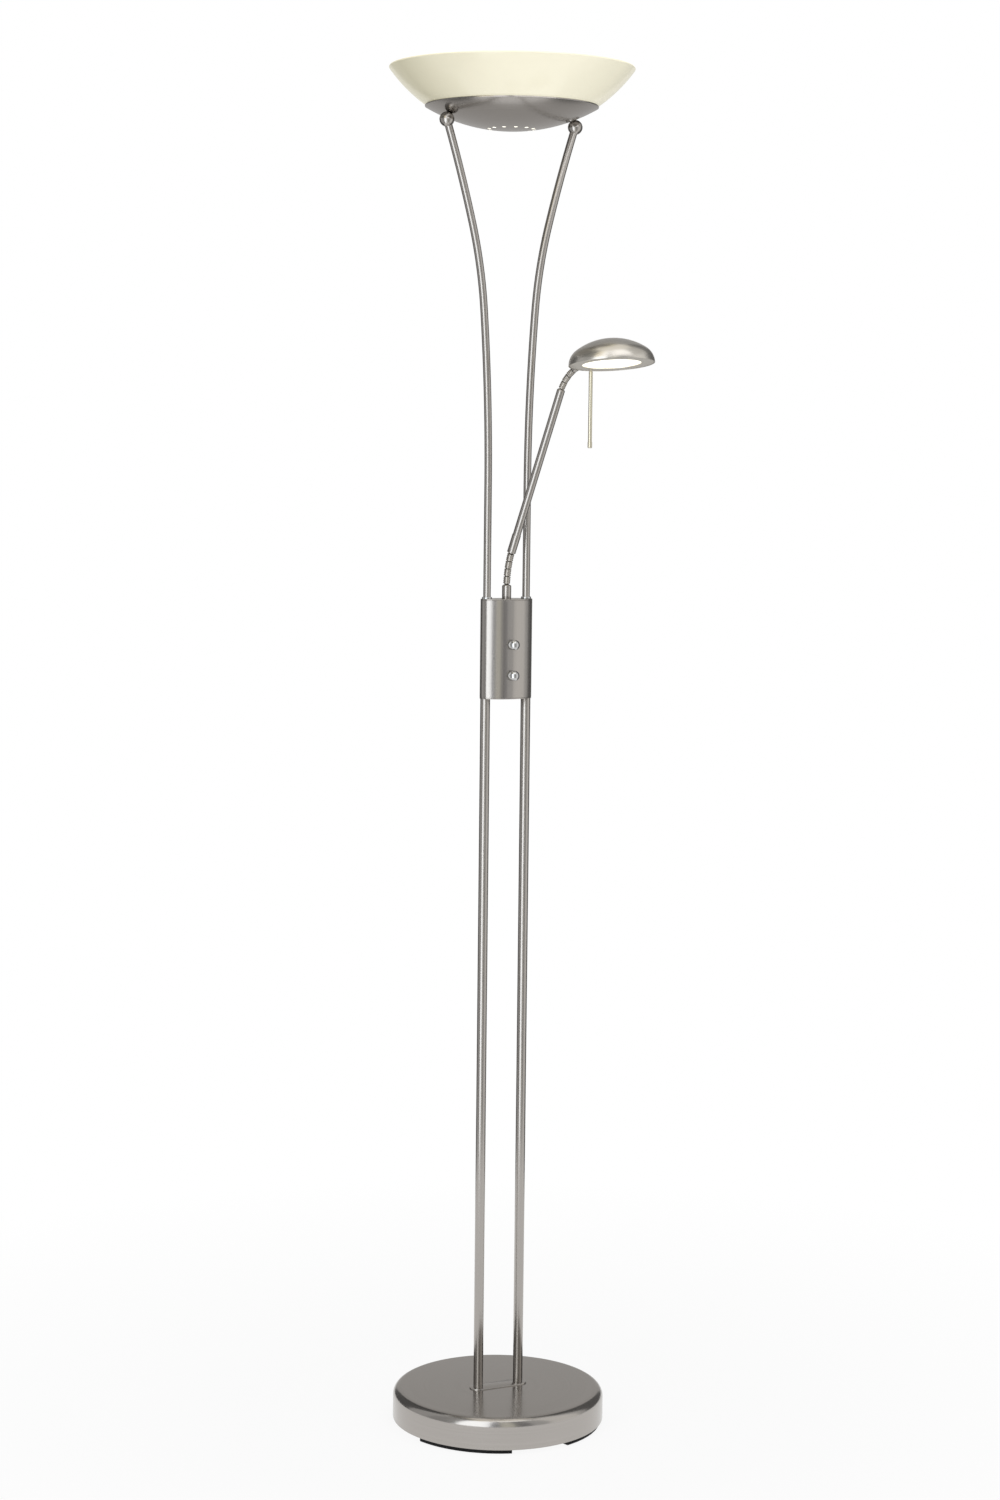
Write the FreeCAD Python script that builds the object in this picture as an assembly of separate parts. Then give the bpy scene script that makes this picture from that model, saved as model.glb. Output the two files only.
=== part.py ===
import FreeCAD, Part
import math
import os

# Torchiere floor lamp with a reading light on a bendable arm.
# Millimetres. Origin: on the floor, under the centre of the round base.
# +Z up, X along the line through the two poles, -Y the front with the two dimmer knobs.

Vector = FreeCAD.Vector
UP = Vector(0, 0, 1)
FRONT = Vector(0, -1, 0)

# ---------------------------------------------------------------- driving dimensions

# Clearances that every seat is worked out from
turned_fit = 0.05          # radial, between turned pieces that plug or turn in each other
ball_fit = 0.08            # radial, between a hose ball and its socket
loose_gap = 0.3            # between curved faces that only lie close to each other
overrun = 1.0              # how far a cutting tool runs past the face it cuts

# Base
foot_height = 6.0
foot_outer_r = 131.0
foot_inner_r = 113.0
foot_span = 56.0           # degrees of arc that one pad covers
foot_chamfer = 1.0
foot_angles = (45.0, 135.0, 225.0, 315.0)
base_r = 142.0
base_height = 41.4         # of the cover, from its lower edge to its flat top
base_rounding = 12.0
base_wall = 1.2
bottom_plate_thick = 1.2
bottom_plate_gap = 0.6
weight_r = 134.0
weight_thick = 12.0
weight_hub_r = 50.0
weight_chamfer = 2.0
nut_pocket_r = 10.0
nut_pocket_depth = 9.0
cord_slot_width = 14.0
cord_slot_depth = 8.0
plate_screw_circle_r = 92.0
plate_screw_r = 2.0
plate_screw_length = 9.0
plate_screw_head_r = 3.8
plate_screw_head_height = 2.2
grommet_height = 16.0      # of the cord hole's centre above the floor
grommet_bore_r = 3.6
grommet_barrel_r = 5.2
grommet_outer_flange_r = 7.0
grommet_inner_flange_r = 6.4
grommet_flange_thick = 1.8

# Poles
pole_r = 6.5
pole_wall = 1.2
pole_spacing = 59.1        # between the two pole axes
pole_length = 932.8
foot_plate_length = 82.5
foot_plate_width = 23.4
foot_plate_thick = 1.4
foot_plate_chamfer = 0.4
nipple_r = 4.0             # threaded lamp tube
nipple_bore_r = 2.9
nipple_engagement = 15.0   # how far it screws into the insert in a pole
stud_tail = 2.0            # of the base stud below its nut
stud_nut_flats = 13.0
stud_nut_height = 6.0

# Dimmer box
box_half_length = 36.4     # of the oval, along X
box_half_depth = 20.0      # along Y
box_end_r = 13.0           # of the arcs at the oval's two ends
box_height = 131.5
box_wall = 1.0
cap_flange_thick = 1.6
top_cap_plug = 8.0
bottom_cap_plug = 6.0
tie_screw_x = 19.0
tie_screw_y = 11.5
tie_screw_r = 1.5
tie_screw_head_r = 2.8
tie_screw_head_height = 1.6
knob_height_upper = 71.9   # knob axis above the lower end of the box
knob_height_lower = 31.4
knob_r = 6.9
knob_length = 12.0
knob_dome = 5.2            # height of the rounded end
knob_edge = 0.4
knob_gap = 0.6             # between the knob and the front of the box
knob_cavity_r = 6.2
knob_cavity_depth = 2.6
knob_bore_depth = 9.0
shaft_r = 3.0
shaft_flat = 0.8           # depth of the flat along the shaft
bush_r = 3.5
bush_stand = 2.2           # of the bush's end in front of the box
bush_nut_flats = 10.0
bush_nut_height = 1.9
dimmer_width = 24.0
dimmer_depth = 15.0
dimmer_height = 26.0
terminal_width = 20.0
terminal_depth = 10.0
terminal_height = 16.0
terminal_screw_r = 1.6
terminal_count = 3
terminal_drop = 12.0       # of its top below the plug of the top cap

# Two swept arms that carry the uplight
arm_r = 5.0
arm_wall = 1.0
arm_spacing = 57.0
arm_straight = 151.9       # above the box, before the sweep begins
arm_sweep = ((3000.0, 4.3), (646.0, 14.2), (1987.0, 17.8))   # radius, lean at its upper end
collar_r = 6.7
collar_height = 2.6
collar_chamfer = 0.5
ball_r = 9.7
ball_reach = 9.4           # from the arm's end to the ball's centre
ball_seat = 0.4            # how deep the dish's curve is ground into the ball
ball_socket_depth = 5.0    # of the arm's end in the ball

# Uplight: metal dish, glass bowl and what holds them
dish_r = 226.7             # of the sphere that the dish is part of
dish_edge_r = 112.7
dish_lip = 1.5
dish_wall = 0.9
vent_count = 12
vent_r = 1.5
vent_circle_r = 29.5
cup_screw_r = 2.0
cup_screw_length = 10.0
cup_screw_head_r = 3.5
cup_screw_head_height = 1.2
bowl_r = 197.0             # of the bowl's main sphere, outside
bowl_rim_r = 160.9
bowl_wall = 4.0
bowl_rim_rounding = 1.6
bowl_corner_r = 60.0       # between the sphere and the flat bottom, outside
bowl_corner_angle = 33.5   # where the sphere ends, seen from its centre
bowl_hole_r = 9.0
bowl_lift = 20.05          # flat bottom of the bowl above the lowest point of the dish
seat_ring_inner_r = 96.0
seat_ring_outer_r = 104.0
hub_flange_r = 14.0
hub_flange_thick = 2.0
hub_spacer_r = 11.5
hub_stem_r = 5.0
hub_bore_r = 3.2
hub_tail = 2.0             # of the threaded stem above its upper nut
hub_nut_flats = 14.0
hub_nut_height = 5.0
clamp_disc_r = 34.0
clamp_disc_thick = 1.5
bracket_half_length = 64.0
bracket_width = 18.0
bracket_thick = 2.0
bracket_rise = 34.0
holder_length = 12.0
holder_width = 17.0
holder_height = 20.0
tube_axis_rise = 24.0      # lamp tube above the bracket's floor
lamp_tube_r = 5.0
lamp_tube_glass = 92.0     # length of the full diameter
lamp_tube_length = 117.6
lamp_tube_end_r = 3.9
lamp_tube_play = 0.2       # radial, in the pockets of the lampholders

# Reading arm: azimuth of the vertical plane that it lies in, and its lean from the vertical
arm_azimuth = -65.6
arm_lean = 20.9
ferrule_r = 6.1
ferrule_height = 18.6
ferrule_bevel = 1.5
ferrule_stem_r = 5.0
sleeve_r = 5.75
sleeve_length = 25.0
reading_tube_r = 5.25
reading_tube_wall = 1.0
reading_tube_plug = 10.5         # solid upper end
reading_tube_length = 229.7      # between the last ball of the lower hose and the first of the upper
wire_bore_r = 1.4

# Ribbed hoses, made of short lengths that seat in each other as ball and socket
rib_pitch = 3.4
ribs_per_length = 3
rib_depth = 0.65
rib_slope = 0.55
rib_crest = 1.45
ball_below_crest = 1.15          # hose radius less ball radius
skirt_drop = 1.2                 # how far a socket's skirt hangs below the ball's centre
skirt_corner = 0.16              # the skirt's widest corner lies this far inside the crest
ball_sink = 0.33                 # how far a ball boss reaches into the piece that carries it
ball_top = 2.0                   # flat top of the ball above its centre
hose_bend_limit = 18.0           # degrees between two neighbouring lengths
lower_hose_r = 4.75
lower_hose_lengths = 4
upper_hose_r = 4.25
upper_hose_lengths = 3
upper_hose_bend = 41.3           # between the reading tube and the head's nipple

# Reading head
head_r = 55.0
head_height = 33.0
head_shoulder_r = 23.0           # of the dome's profile next to the rim, outside
head_wall = 1.0
head_tilt = 7.8                  # the rim's front edge stands higher by this angle
head_stand = 5.8                 # rear wall of the head beyond the last ball of the hose
head_rise = 5.6                  # centre of the rim above that ball
head_ring_inner_r = 37.5
head_ring_thick = 1.2
head_ring_inset = 0.3
head_glass_r = 39.5
head_glass_thick = 2.8
clip_count = 3
clip_first_angle = 65.0
clip_width = 4.0
clip_thick = 0.7
clip_finger_r = 35.0             # how far in the clip reaches over the glass
clip_foot_r = 46.0
neck_r = 2.8
neck_flange_r = 3.4
neck_flange_thick = 1.0
neck_gap = 0.3                   # between the nipple's square ends and the nearest of the curved wall
head_bracket_width = 14.0
head_bracket_thick = 1.2
head_bracket_back = 24.0         # its leg behind the head's centre
head_bracket_reach = 20.0
head_bracket_foot = 7.0          # of its leg above the rim's plane
socket_r = 8.0
socket_length = 16.0
bulb_axis_height = 14.5
bulb_r = 6.5
bulb_base_r = 3.25
bulb_rounding = 3.9
bulb_length = 40.0
rod_r = 2.5
rod_length = 100.0
rod_thread_r = 1.25
rod_thread_length = 3.6
rod_tip_r = 2.9
rod_tip_length = 8.0
rod_circle_r = 45.8              # where the rod is screwed in, from the head's centre
rod_angle = 98.4

# ---------------------------------------------------------------- places worked out from them

base_bottom = foot_height
base_top = base_bottom + base_height
plate_top = base_bottom + bottom_plate_thick
weight_top = plate_top + weight_thick
hub_top = base_top - base_wall
pole_bottom = base_top + foot_plate_thick
pole_top = pole_bottom + pole_length
pole_x = pole_spacing / 2
box_bottom = pole_top
box_top = box_bottom + box_height
arm_x = arm_spacing / 2
nut_seat = plate_top + nut_pocket_depth
oval_reach = box_half_length - box_end_r       # centres of the end arcs, from the middle
oval_rise = box_half_depth - box_end_r
oval_drop = (oval_reach ** 2 - oval_rise ** 2) / 2 / oval_rise       # centres of the long arcs, beyond it
oval_side_r = box_half_depth + oval_drop


def degrees_sin(angle):
    return math.sin(math.radians(angle))


def degrees_cos(angle):
    return math.cos(math.radians(angle))


# ---------------------------------------------------------------- shared shapes

def save(name, shape):
    """Write one sub-part to parts/name.step."""
    shape.exportStep(os.path.join("parts", name + ".step"))


def rod(radius, low, high, x=0.0, y=0.0):
    """Upright cylinder between two heights."""
    return Part.makeCylinder(radius, high - low, Vector(x, y, low))


def tube(outer, inner, low, high, x=0.0, y=0.0):
    """Upright tube between two heights."""
    return rod(outer, low, high, x, y).cut(rod(inner, low - overrun, high + overrun, x, y))


def block(low, high):
    """Box between two corners."""
    size = Vector(*high) - Vector(*low)
    return Part.makeBox(size.x, size.y, size.z, Vector(*low))


def oval(inset, low, high):
    """Upright prism with the box's oval of four tangent arcs, drawn in by an inset."""
    length = box_half_length - inset
    depth = box_half_depth - inset
    join = Vector(oval_reach, oval_drop, 0).normalize() * (oval_side_r - inset) - Vector(0, oval_drop, 0)
    joins = [Vector(i * join.x, j * join.y, low) for i, j in ((1, 1), (-1, 1), (-1, -1), (1, -1), (1, 1))]
    crests = [Vector(0, depth, low), Vector(-length, 0, low), Vector(0, -depth, low), Vector(length, 0, low)]
    arcs = [Part.Arc(start, crest, end).toShape() for start, crest, end in zip(joins, crests, joins[1:])]
    return Part.Face(Part.Wire(arcs)).extrude(Vector(0, 0, high - low))


def oval_depth(inset, x):
    """Half depth of that oval at a distance from its middle."""
    return math.sqrt((oval_side_r - inset) ** 2 - x ** 2) - oval_drop


def hexagon(flats, low, high, x=0.0, y=0.0):
    """Upright hexagon prism, two of its flats square to X."""
    corner_r = flats / 2 / degrees_cos(30)
    corners = [Vector(x + corner_r * degrees_cos(30 + 60 * k), y + corner_r * degrees_sin(30 + 60 * k), low)
               for k in range(7)]
    return Part.Face(Part.makePolygon(corners)).extrude(Vector(0, 0, high - low))


def turned(points):
    """Solid of revolution about Z from a closed outline of (radius, height) points."""
    outline = [Vector(radius, 0, height) for radius, height in points]
    return Part.Face(Part.makePolygon(outline + outline[:1])).revolve(Vector(), UP, 360)


def spun(edges):
    """Solid of revolution about Z from edges that close an outline in the XZ plane."""
    return Part.Face(Part.Wire(Part.__sortEdges__(edges))).revolve(Vector(), UP, 360)


def on_radius(radius, angle, height=0.0):
    return Vector(radius * degrees_cos(angle), radius * degrees_sin(angle), height)


def arc_point(centre, radius, angle):
    """Point in the XZ plane; the angle is measured from straight down towards +X."""
    return centre + Vector(radius * degrees_sin(angle), 0, -radius * degrees_cos(angle))


def line(start, end):
    return Part.LineSegment(start, end).toShape()


def arc_edge(centre, radius, first, last):
    """Arc in the XZ plane between two such angles."""
    return Part.Arc(arc_point(centre, radius, first), arc_point(centre, radius, (first + last) / 2),
                    arc_point(centre, radius, last)).toShape()


def turn_to(shape, direction, origin, about=UP):
    """Copy of a shape whose own Z is laid along a direction, with its zero at a point."""
    placed = shape.copy()
    turn = FreeCAD.Placement(origin, FreeCAD.Rotation(about, direction))
    placed.Placement = turn.multiply(placed.Placement)
    return placed


# ---------------------------------------------------------------- base

def foot_pads():
    """Four curved rubber pads glued under the bottom plate."""
    pads = []
    for angle in foot_angles:
        profile = Part.makePolygon([Vector(radius, 0, height) for radius, height in (
            (foot_inner_r, foot_height), (foot_inner_r, foot_chamfer), (foot_inner_r + foot_chamfer, 0),
            (foot_outer_r - foot_chamfer, 0), (foot_outer_r, foot_chamfer), (foot_outer_r, foot_height),
            (foot_inner_r, foot_height))])
        pad = Part.Face(profile).revolve(Vector(), UP, foot_span)
        pads.append(pad.rotate(Vector(), UP, angle - foot_span / 2))
    return Part.makeCompound(pads)


def base_cover():
    """Pressed steel cover: skirt, rounded shoulder and flat top."""
    def solid(inset):
        """The space inside the cover's outline, drawn in by a wall."""
        radius = base_r - inset
        top = base_top - inset
        rounding = base_rounding - inset
        corner = Vector(radius - rounding, 0, top - rounding)
        low = base_bottom - (overrun if inset else 0)
        axis_low = Vector(0, 0, low)
        axis_high = Vector(0, 0, top)
        return spun([line(axis_low, Vector(radius, 0, low)),
                     line(Vector(radius, 0, low), arc_point(corner, rounding, 90)),
                     arc_edge(corner, rounding, 90, 180),
                     line(arc_point(corner, rounding, 180), axis_high),
                     line(axis_high, axis_low)])
    cover = solid(0).cut(solid(base_wall))
    for side in (-1, 1):
        cover = cover.cut(rod(nipple_r + turned_fit, hub_top - overrun, base_top + overrun, side * pole_x))
    hole = Part.makeCylinder(grommet_barrel_r + turned_fit, 2 * base_wall + 2 * overrun,
                             Vector(0, base_r - 2 * base_wall, grommet_height), Vector(0, 1, 0))
    return cover.cut(hole)


def base_weight():
    """Cast weight: a heavy disc with a hub that the cover is clamped onto."""
    disc = turned([(0, plate_top), (weight_r - weight_chamfer, plate_top),
                   (weight_r, plate_top + weight_chamfer), (weight_r, weight_top - weight_chamfer),
                   (weight_r - weight_chamfer, weight_top), (weight_hub_r, weight_top),
                   (weight_hub_r - weight_chamfer, hub_top), (0, hub_top)])
    half_slot = cord_slot_width / 2
    under_hub = plate_top + cord_slot_depth
    slots = [block((-half_slot, 0, plate_top - overrun), (half_slot, weight_hub_r, under_hub)),
             block((-half_slot, weight_hub_r, plate_top - overrun), (half_slot, base_r, hub_top)),
             block((-pole_x, -half_slot, plate_top - overrun), (pole_x, half_slot, under_hub))]
    for side in (-1, 1):
        slots.append(rod(nipple_r + turned_fit, plate_top, hub_top + overrun, side * pole_x))
        slots.append(rod(nut_pocket_r, plate_top - overrun, nut_seat, side * pole_x))
    for angle in foot_angles:
        place = on_radius(plate_screw_circle_r, angle)
        slots.append(rod(plate_screw_r + turned_fit, plate_top - overrun,
                         base_bottom + plate_screw_length + overrun, place.x, place.y))
    return disc.cut(slots)


def bottom_plate():
    """Steel plate that closes the base from below."""
    plate = rod(base_r - base_wall - bottom_plate_gap, base_bottom, plate_top)
    holes = []
    for angle in foot_angles:
        place = on_radius(plate_screw_circle_r, angle)
        holes.append(rod(plate_screw_r + turned_fit, base_bottom - overrun, plate_top + overrun,
                         place.x, place.y))
    return plate.cut(holes)


def plate_screws():
    """Four screws that hold the bottom plate to the weight."""
    screws = []
    for angle in foot_angles:
        place = on_radius(plate_screw_circle_r, angle)
        head = rod(plate_screw_head_r, base_bottom - plate_screw_head_height, base_bottom, place.x, place.y)
        screws.append(head.fuse(rod(plate_screw_r, base_bottom, base_bottom + plate_screw_length,
                                    place.x, place.y)).removeSplitter())
    return Part.makeCompound(screws)


def cord_grommet():
    """Rubber grommet of the cord hole, in the rear of the cover's skirt."""
    flange = loose_gap / 2
    inside = base_wall + flange
    grommet = turned([(grommet_bore_r, -inside - grommet_flange_thick),
                      (grommet_inner_flange_r, -inside - grommet_flange_thick),
                      (grommet_inner_flange_r, -inside), (grommet_barrel_r, -inside),
                      (grommet_barrel_r, flange), (grommet_outer_flange_r, flange),
                      (grommet_outer_flange_r, flange + grommet_flange_thick / 2),
                      (grommet_barrel_r, flange + grommet_flange_thick),
                      (grommet_bore_r, flange + grommet_flange_thick)])
    return turn_to(grommet, Vector(0, 1, 0), Vector(0, base_r, grommet_height))


# ---------------------------------------------------------------- poles

def foot_plate():
    """Oblong plate between the base and the two poles."""
    half_straight = (foot_plate_length - foot_plate_width) / 2
    radius = foot_plate_width / 2
    ends = [rod(radius, base_top, pole_bottom, side * half_straight) for side in (-1, 1)]
    middle = block((-half_straight, -radius, base_top), (half_straight, radius, pole_bottom))
    plate = middle.fuse(ends).removeSplitter()
    rim = [edge for edge in plate.Edges if edge.BoundBox.ZMin > pole_bottom - foot_plate_thick / 2]
    plate = plate.makeChamfer(foot_plate_chamfer, rim)
    return plate.cut([rod(nipple_r + turned_fit, base_top - overrun, pole_bottom + overrun, side * pole_x)
                      for side in (-1, 1)])


def pole(side):
    return tube(pole_r, pole_r - pole_wall, pole_bottom, pole_top, side * pole_x)


def pole_inserts():
    """Threaded sleeves pressed into both ends of both poles."""
    outer = pole_r - pole_wall - turned_fit
    inserts = []
    for side in (-1, 1):
        for low in (pole_bottom, pole_top - nipple_engagement):
            inserts.append(tube(outer, nipple_r + turned_fit, low, low + nipple_engagement, side * pole_x))
    return Part.makeCompound(inserts)


def base_studs():
    """Threaded tubes that clamp pole, foot plate, cover and weight together."""
    low = nut_seat - stud_nut_height - stud_tail
    return Part.makeCompound([tube(nipple_r, nipple_bore_r, low, pole_bottom + nipple_engagement, side * pole_x)
                              for side in (-1, 1)])


def base_stud_nuts():
    nuts = []
    for side in (-1, 1):
        nut = hexagon(stud_nut_flats, nut_seat - stud_nut_height, nut_seat, side * pole_x)
        nuts.append(nut.cut(rod(nipple_r + turned_fit, 0, nut_seat + overrun, side * pole_x)))
    return Part.makeCompound(nuts)


def box_nipples():
    """Short threaded tubes between the poles and the lower cap of the box."""
    return Part.makeCompound([tube(nipple_r, nipple_bore_r, pole_top - nipple_engagement,
                                   box_bottom + cap_flange_thick + bottom_cap_plug, side * pole_x)
                              for side in (-1, 1)])


# ---------------------------------------------------------------- dimmer box

sleeve_low = box_bottom + cap_flange_thick
sleeve_high = box_top - cap_flange_thick
knob_heights = {"upper": box_bottom + knob_height_upper, "lower": box_bottom + knob_height_lower}
tie_screw_places = [(side * tie_screw_x, tie_screw_y) for side in (-1, 1)]


def box_housing():
    """Oval steel sleeve with two holes for the dimmer bushes."""
    sleeve = oval(0, sleeve_low, sleeve_high).cut(oval(box_wall, sleeve_low - overrun, sleeve_high + overrun))
    reach = box_half_depth + overrun
    return sleeve.cut([Part.makeCylinder(bush_r + turned_fit, reach, Vector(0, 0, height), FRONT)
                       for height in knob_heights.values()])


def cap(flange_low, plug_low, plug_high):
    """Die-cast end cap: a flange over the sleeve's end and a plug inside it."""
    flange = oval(0, flange_low, flange_low + cap_flange_thick)
    plug = oval(box_wall + turned_fit, plug_low, plug_high)
    return flange.fuse(plug).removeSplitter()


def box_top_cap():
    high = box_top + overrun
    low = sleeve_high - top_cap_plug
    part = cap(sleeve_high, low, sleeve_high)
    tools = [rod(arm_r + turned_fit, low - overrun, high, side * arm_x) for side in (-1, 1)]
    tools.append(rod(ferrule_stem_r + turned_fit, low - overrun, high))
    tools += [rod(tie_screw_r + turned_fit, low - overrun, sleeve_high, x, y) for x, y in tie_screw_places]
    return part.cut(tools)


def box_bottom_cap():
    low = box_bottom - overrun
    high = sleeve_low + bottom_cap_plug
    part = cap(box_bottom, sleeve_low, high)
    tools = [rod(nipple_r + turned_fit, low, high + overrun, side * pole_x) for side in (-1, 1)]
    tools += [rod(tie_screw_r + turned_fit, low, high + overrun, x, y) for x, y in tie_screw_places]
    tools += [rod(tie_screw_head_r + turned_fit, low, box_bottom + tie_screw_head_height, x, y)
              for x, y in tie_screw_places]
    return part.cut(tools)


def box_tie_screws():
    """Two long screws that pull the caps onto the sleeve's ends."""
    screws = []
    for x, y in tie_screw_places:
        head = rod(tie_screw_head_r, box_bottom, box_bottom + tie_screw_head_height, x, y)
        shank = rod(tie_screw_r, box_bottom + tie_screw_head_height, sleeve_high - overrun, x, y)
        screws.append(head.fuse(shank).removeSplitter())
    return Part.makeCompound(screws)


def dimmer_face():
    """Where the front of a dimmer lies, clear of the sleeve's curve."""
    return oval_depth(box_wall, dimmer_width / 2) - loose_gap


def dimmer(height):
    """Rotary dimmer: a moulded case with a threaded bush through the front of the box."""
    face = dimmer_face()
    case = block((-dimmer_width / 2, -face, height - dimmer_height / 2),
                 (dimmer_width / 2, dimmer_depth - face, height + dimmer_height / 2))
    bush_end = box_half_depth + bush_stand
    bush = Part.makeCylinder(bush_r, bush_end - face, Vector(0, -face, height), FRONT)
    bore = Part.makeCylinder(shaft_r + turned_fit, bush_end - face + dimmer_depth / 2 + overrun,
                             Vector(0, dimmer_depth / 2 - face, height), FRONT)
    return case.fuse(bush).cut(bore)


def knob_base():
    return box_half_depth + knob_gap


def dimmer_shaft(height):
    """Round shaft with a flat on the end that the knob is pushed onto."""
    face = dimmer_face()
    inner_end = face - dimmer_depth / 2 + loose_gap
    outer_end = knob_base() + knob_bore_depth
    shaft = Part.makeCylinder(shaft_r, outer_end - inner_end, Vector(0, -inner_end, height), FRONT)
    flat_start = knob_base() + knob_cavity_depth
    flat = block((-shaft_r, -outer_end - overrun, height + shaft_r - shaft_flat),
                 (shaft_r, -flat_start, height + shaft_r + overrun))
    return shaft.cut(flat)


def dimmer_nuts():
    nuts = []
    for height in knob_heights.values():
        bore = rod(bush_r + turned_fit, -overrun, bush_nut_height + overrun)
        nut = hexagon(bush_nut_flats, 0, bush_nut_height).cut(bore)
        nuts.append(turn_to(nut, FRONT, Vector(0, -box_half_depth - turned_fit, height)))
    return Part.makeCompound(nuts)


def knob(height):
    """Domed knob, hollow at the back to pass over the nut."""
    dome_r = (knob_r ** 2 + knob_dome ** 2) / 2 / knob_dome
    centre = Vector(0, 0, knob_length - dome_r)
    dome_start = 180 - math.degrees(math.asin(knob_r / dome_r))
    shoulder = arc_point(centre, dome_r, dome_start)
    corners = [Vector(0, 0, knob_length), Vector(), Vector(knob_r - knob_edge, 0, 0),
               Vector(knob_r, 0, knob_edge), shoulder]
    edges = [line(a, b) for a, b in zip(corners, corners[1:])]
    edges.append(arc_edge(centre, dome_r, dome_start, 180))
    bore = rod(shaft_r + turned_fit, -overrun, knob_bore_depth + turned_fit)
    flat_low = shaft_r - shaft_flat + turned_fit
    key = block((-knob_r, flat_low, knob_cavity_depth), (knob_r, knob_r, knob_bore_depth + overrun))
    body = spun(edges).cut([bore.cut(key), rod(knob_cavity_r, -overrun, knob_cavity_depth)])
    return turn_to(body, FRONT, Vector(0, -knob_base(), height))


def terminal_block():
    """Porcelain connector strip on the rear wall of the box."""
    back = oval_depth(box_wall, terminal_width / 2) - loose_gap
    top = sleeve_high - top_cap_plug - terminal_drop
    body = block((-terminal_width / 2, back - terminal_depth, top - terminal_height),
                 (terminal_width / 2, back, top))
    spacing = terminal_width / terminal_count
    holes = []
    for k in range(terminal_count):
        x = (k - (terminal_count - 1) / 2) * spacing
        holes.append(rod(terminal_screw_r, top - terminal_height - overrun, top + overrun,
                         x, back - terminal_depth / 2))
        holes.append(Part.makeCylinder(terminal_screw_r, terminal_depth / 2,
                                       Vector(x, back - terminal_depth / 2, top - terminal_height / 2), FRONT))
    return body.cut(holes)


# ---------------------------------------------------------------- swept arms

def arm_route():
    """Centre line of the right arm as edges, with its end point and end direction."""
    start = Vector(arm_x, 0, sleeve_high - top_cap_plug)
    bend = Vector(arm_x, 0, box_top + arm_straight)
    edges = [line(start, bend)]
    point, lean = bend, 0.0
    for radius, next_lean in arm_sweep:
        centre = point + Vector(radius * degrees_cos(lean), 0, -radius * degrees_sin(lean))

        def at(angle):
            return centre + Vector(-radius * degrees_cos(angle), 0, radius * degrees_sin(angle))
        edges.append(Part.Arc(point, at((lean + next_lean) / 2), at(next_lean)).toShape())
        point, lean = at(next_lean), next_lean
    return edges, point, Vector(degrees_sin(lean), 0, degrees_cos(lean))


arm_edges, arm_end, arm_direction = arm_route()
ball_centre = arm_end + arm_direction * ball_reach
dish_centre = Vector(0, 0, ball_centre.z + math.sqrt((dish_r + ball_r - ball_seat) ** 2 - ball_centre.x ** 2))
dish_bottom = dish_centre.z - dish_r
bowl_bottom = dish_bottom + bowl_lift


def mirrored(shape):
    return shape.mirror(Vector(), Vector(1, 0, 0))


def swept(radius, edges):
    """Round bar along a route of straight and curved edges that starts upwards."""
    route = Part.Wire(edges)
    start = edges[0].Vertexes[0].Point
    section = Part.Wire(Part.makeCircle(radius, start, UP))
    return route.makePipeShell([section], True, False)


def right_arm():
    """Swept tube that ends inside its ball."""
    end = arm_end + arm_direction * (ball_reach - ball_r + ball_socket_depth)
    edges = arm_edges + [line(arm_end, end)]
    return swept(arm_r, edges).cut(swept(arm_r - arm_wall, edges))


def arm_collars():
    """Rings that cover the gap between the arms and the box."""
    inner = arm_r + turned_fit
    ring = turned([(inner, box_top), (collar_r, box_top), (collar_r, box_top + collar_height - collar_chamfer),
                   (collar_r - collar_chamfer, box_top + collar_height), (inner, box_top + collar_height)])
    right = ring.translate(Vector(arm_x, 0, 0))
    return Part.makeCompound([mirrored(right), right])


def dish_normal():
    """Direction from a ball's centre to the dish, square to the dish."""
    return (dish_centre - ball_centre).normalize()


def cup_balls():
    """Balls on the arm ends, each ground to the dish's curve where it touches."""
    ball = Part.makeSphere(ball_r, ball_centre)
    hole_end = ball_centre - arm_direction * (ball_r - ball_socket_depth - turned_fit)
    arm_hole = Part.makeCylinder(arm_r + turned_fit, 2 * ball_r, hole_end, arm_direction * -1)
    thread = Part.makeCylinder(cup_screw_r + turned_fit, 2 * ball_r, ball_centre, dish_normal())
    right = ball.cut([Part.makeSphere(dish_r, dish_centre), arm_hole, thread])
    return Part.makeCompound([mirrored(right), right])


# ---------------------------------------------------------------- uplight

def screw_seat():
    """Where the head of a cup screw lies on the inside of the dish."""
    lift = (dish_r + ball_r - ball_seat) - (dish_r - dish_wall)
    sag = cup_screw_head_r ** 2 / 2 / (dish_r - dish_wall)
    return ball_centre + dish_normal() * (lift + sag)


def cup_screws():
    seat = screw_seat()
    head = Part.makeCylinder(cup_screw_head_r, cup_screw_head_height, seat, dish_normal())
    shank = Part.makeCylinder(cup_screw_r, cup_screw_length, seat, dish_normal() * -1)
    right = head.fuse(shank).removeSplitter()
    return Part.makeCompound([mirrored(right), right])


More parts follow.
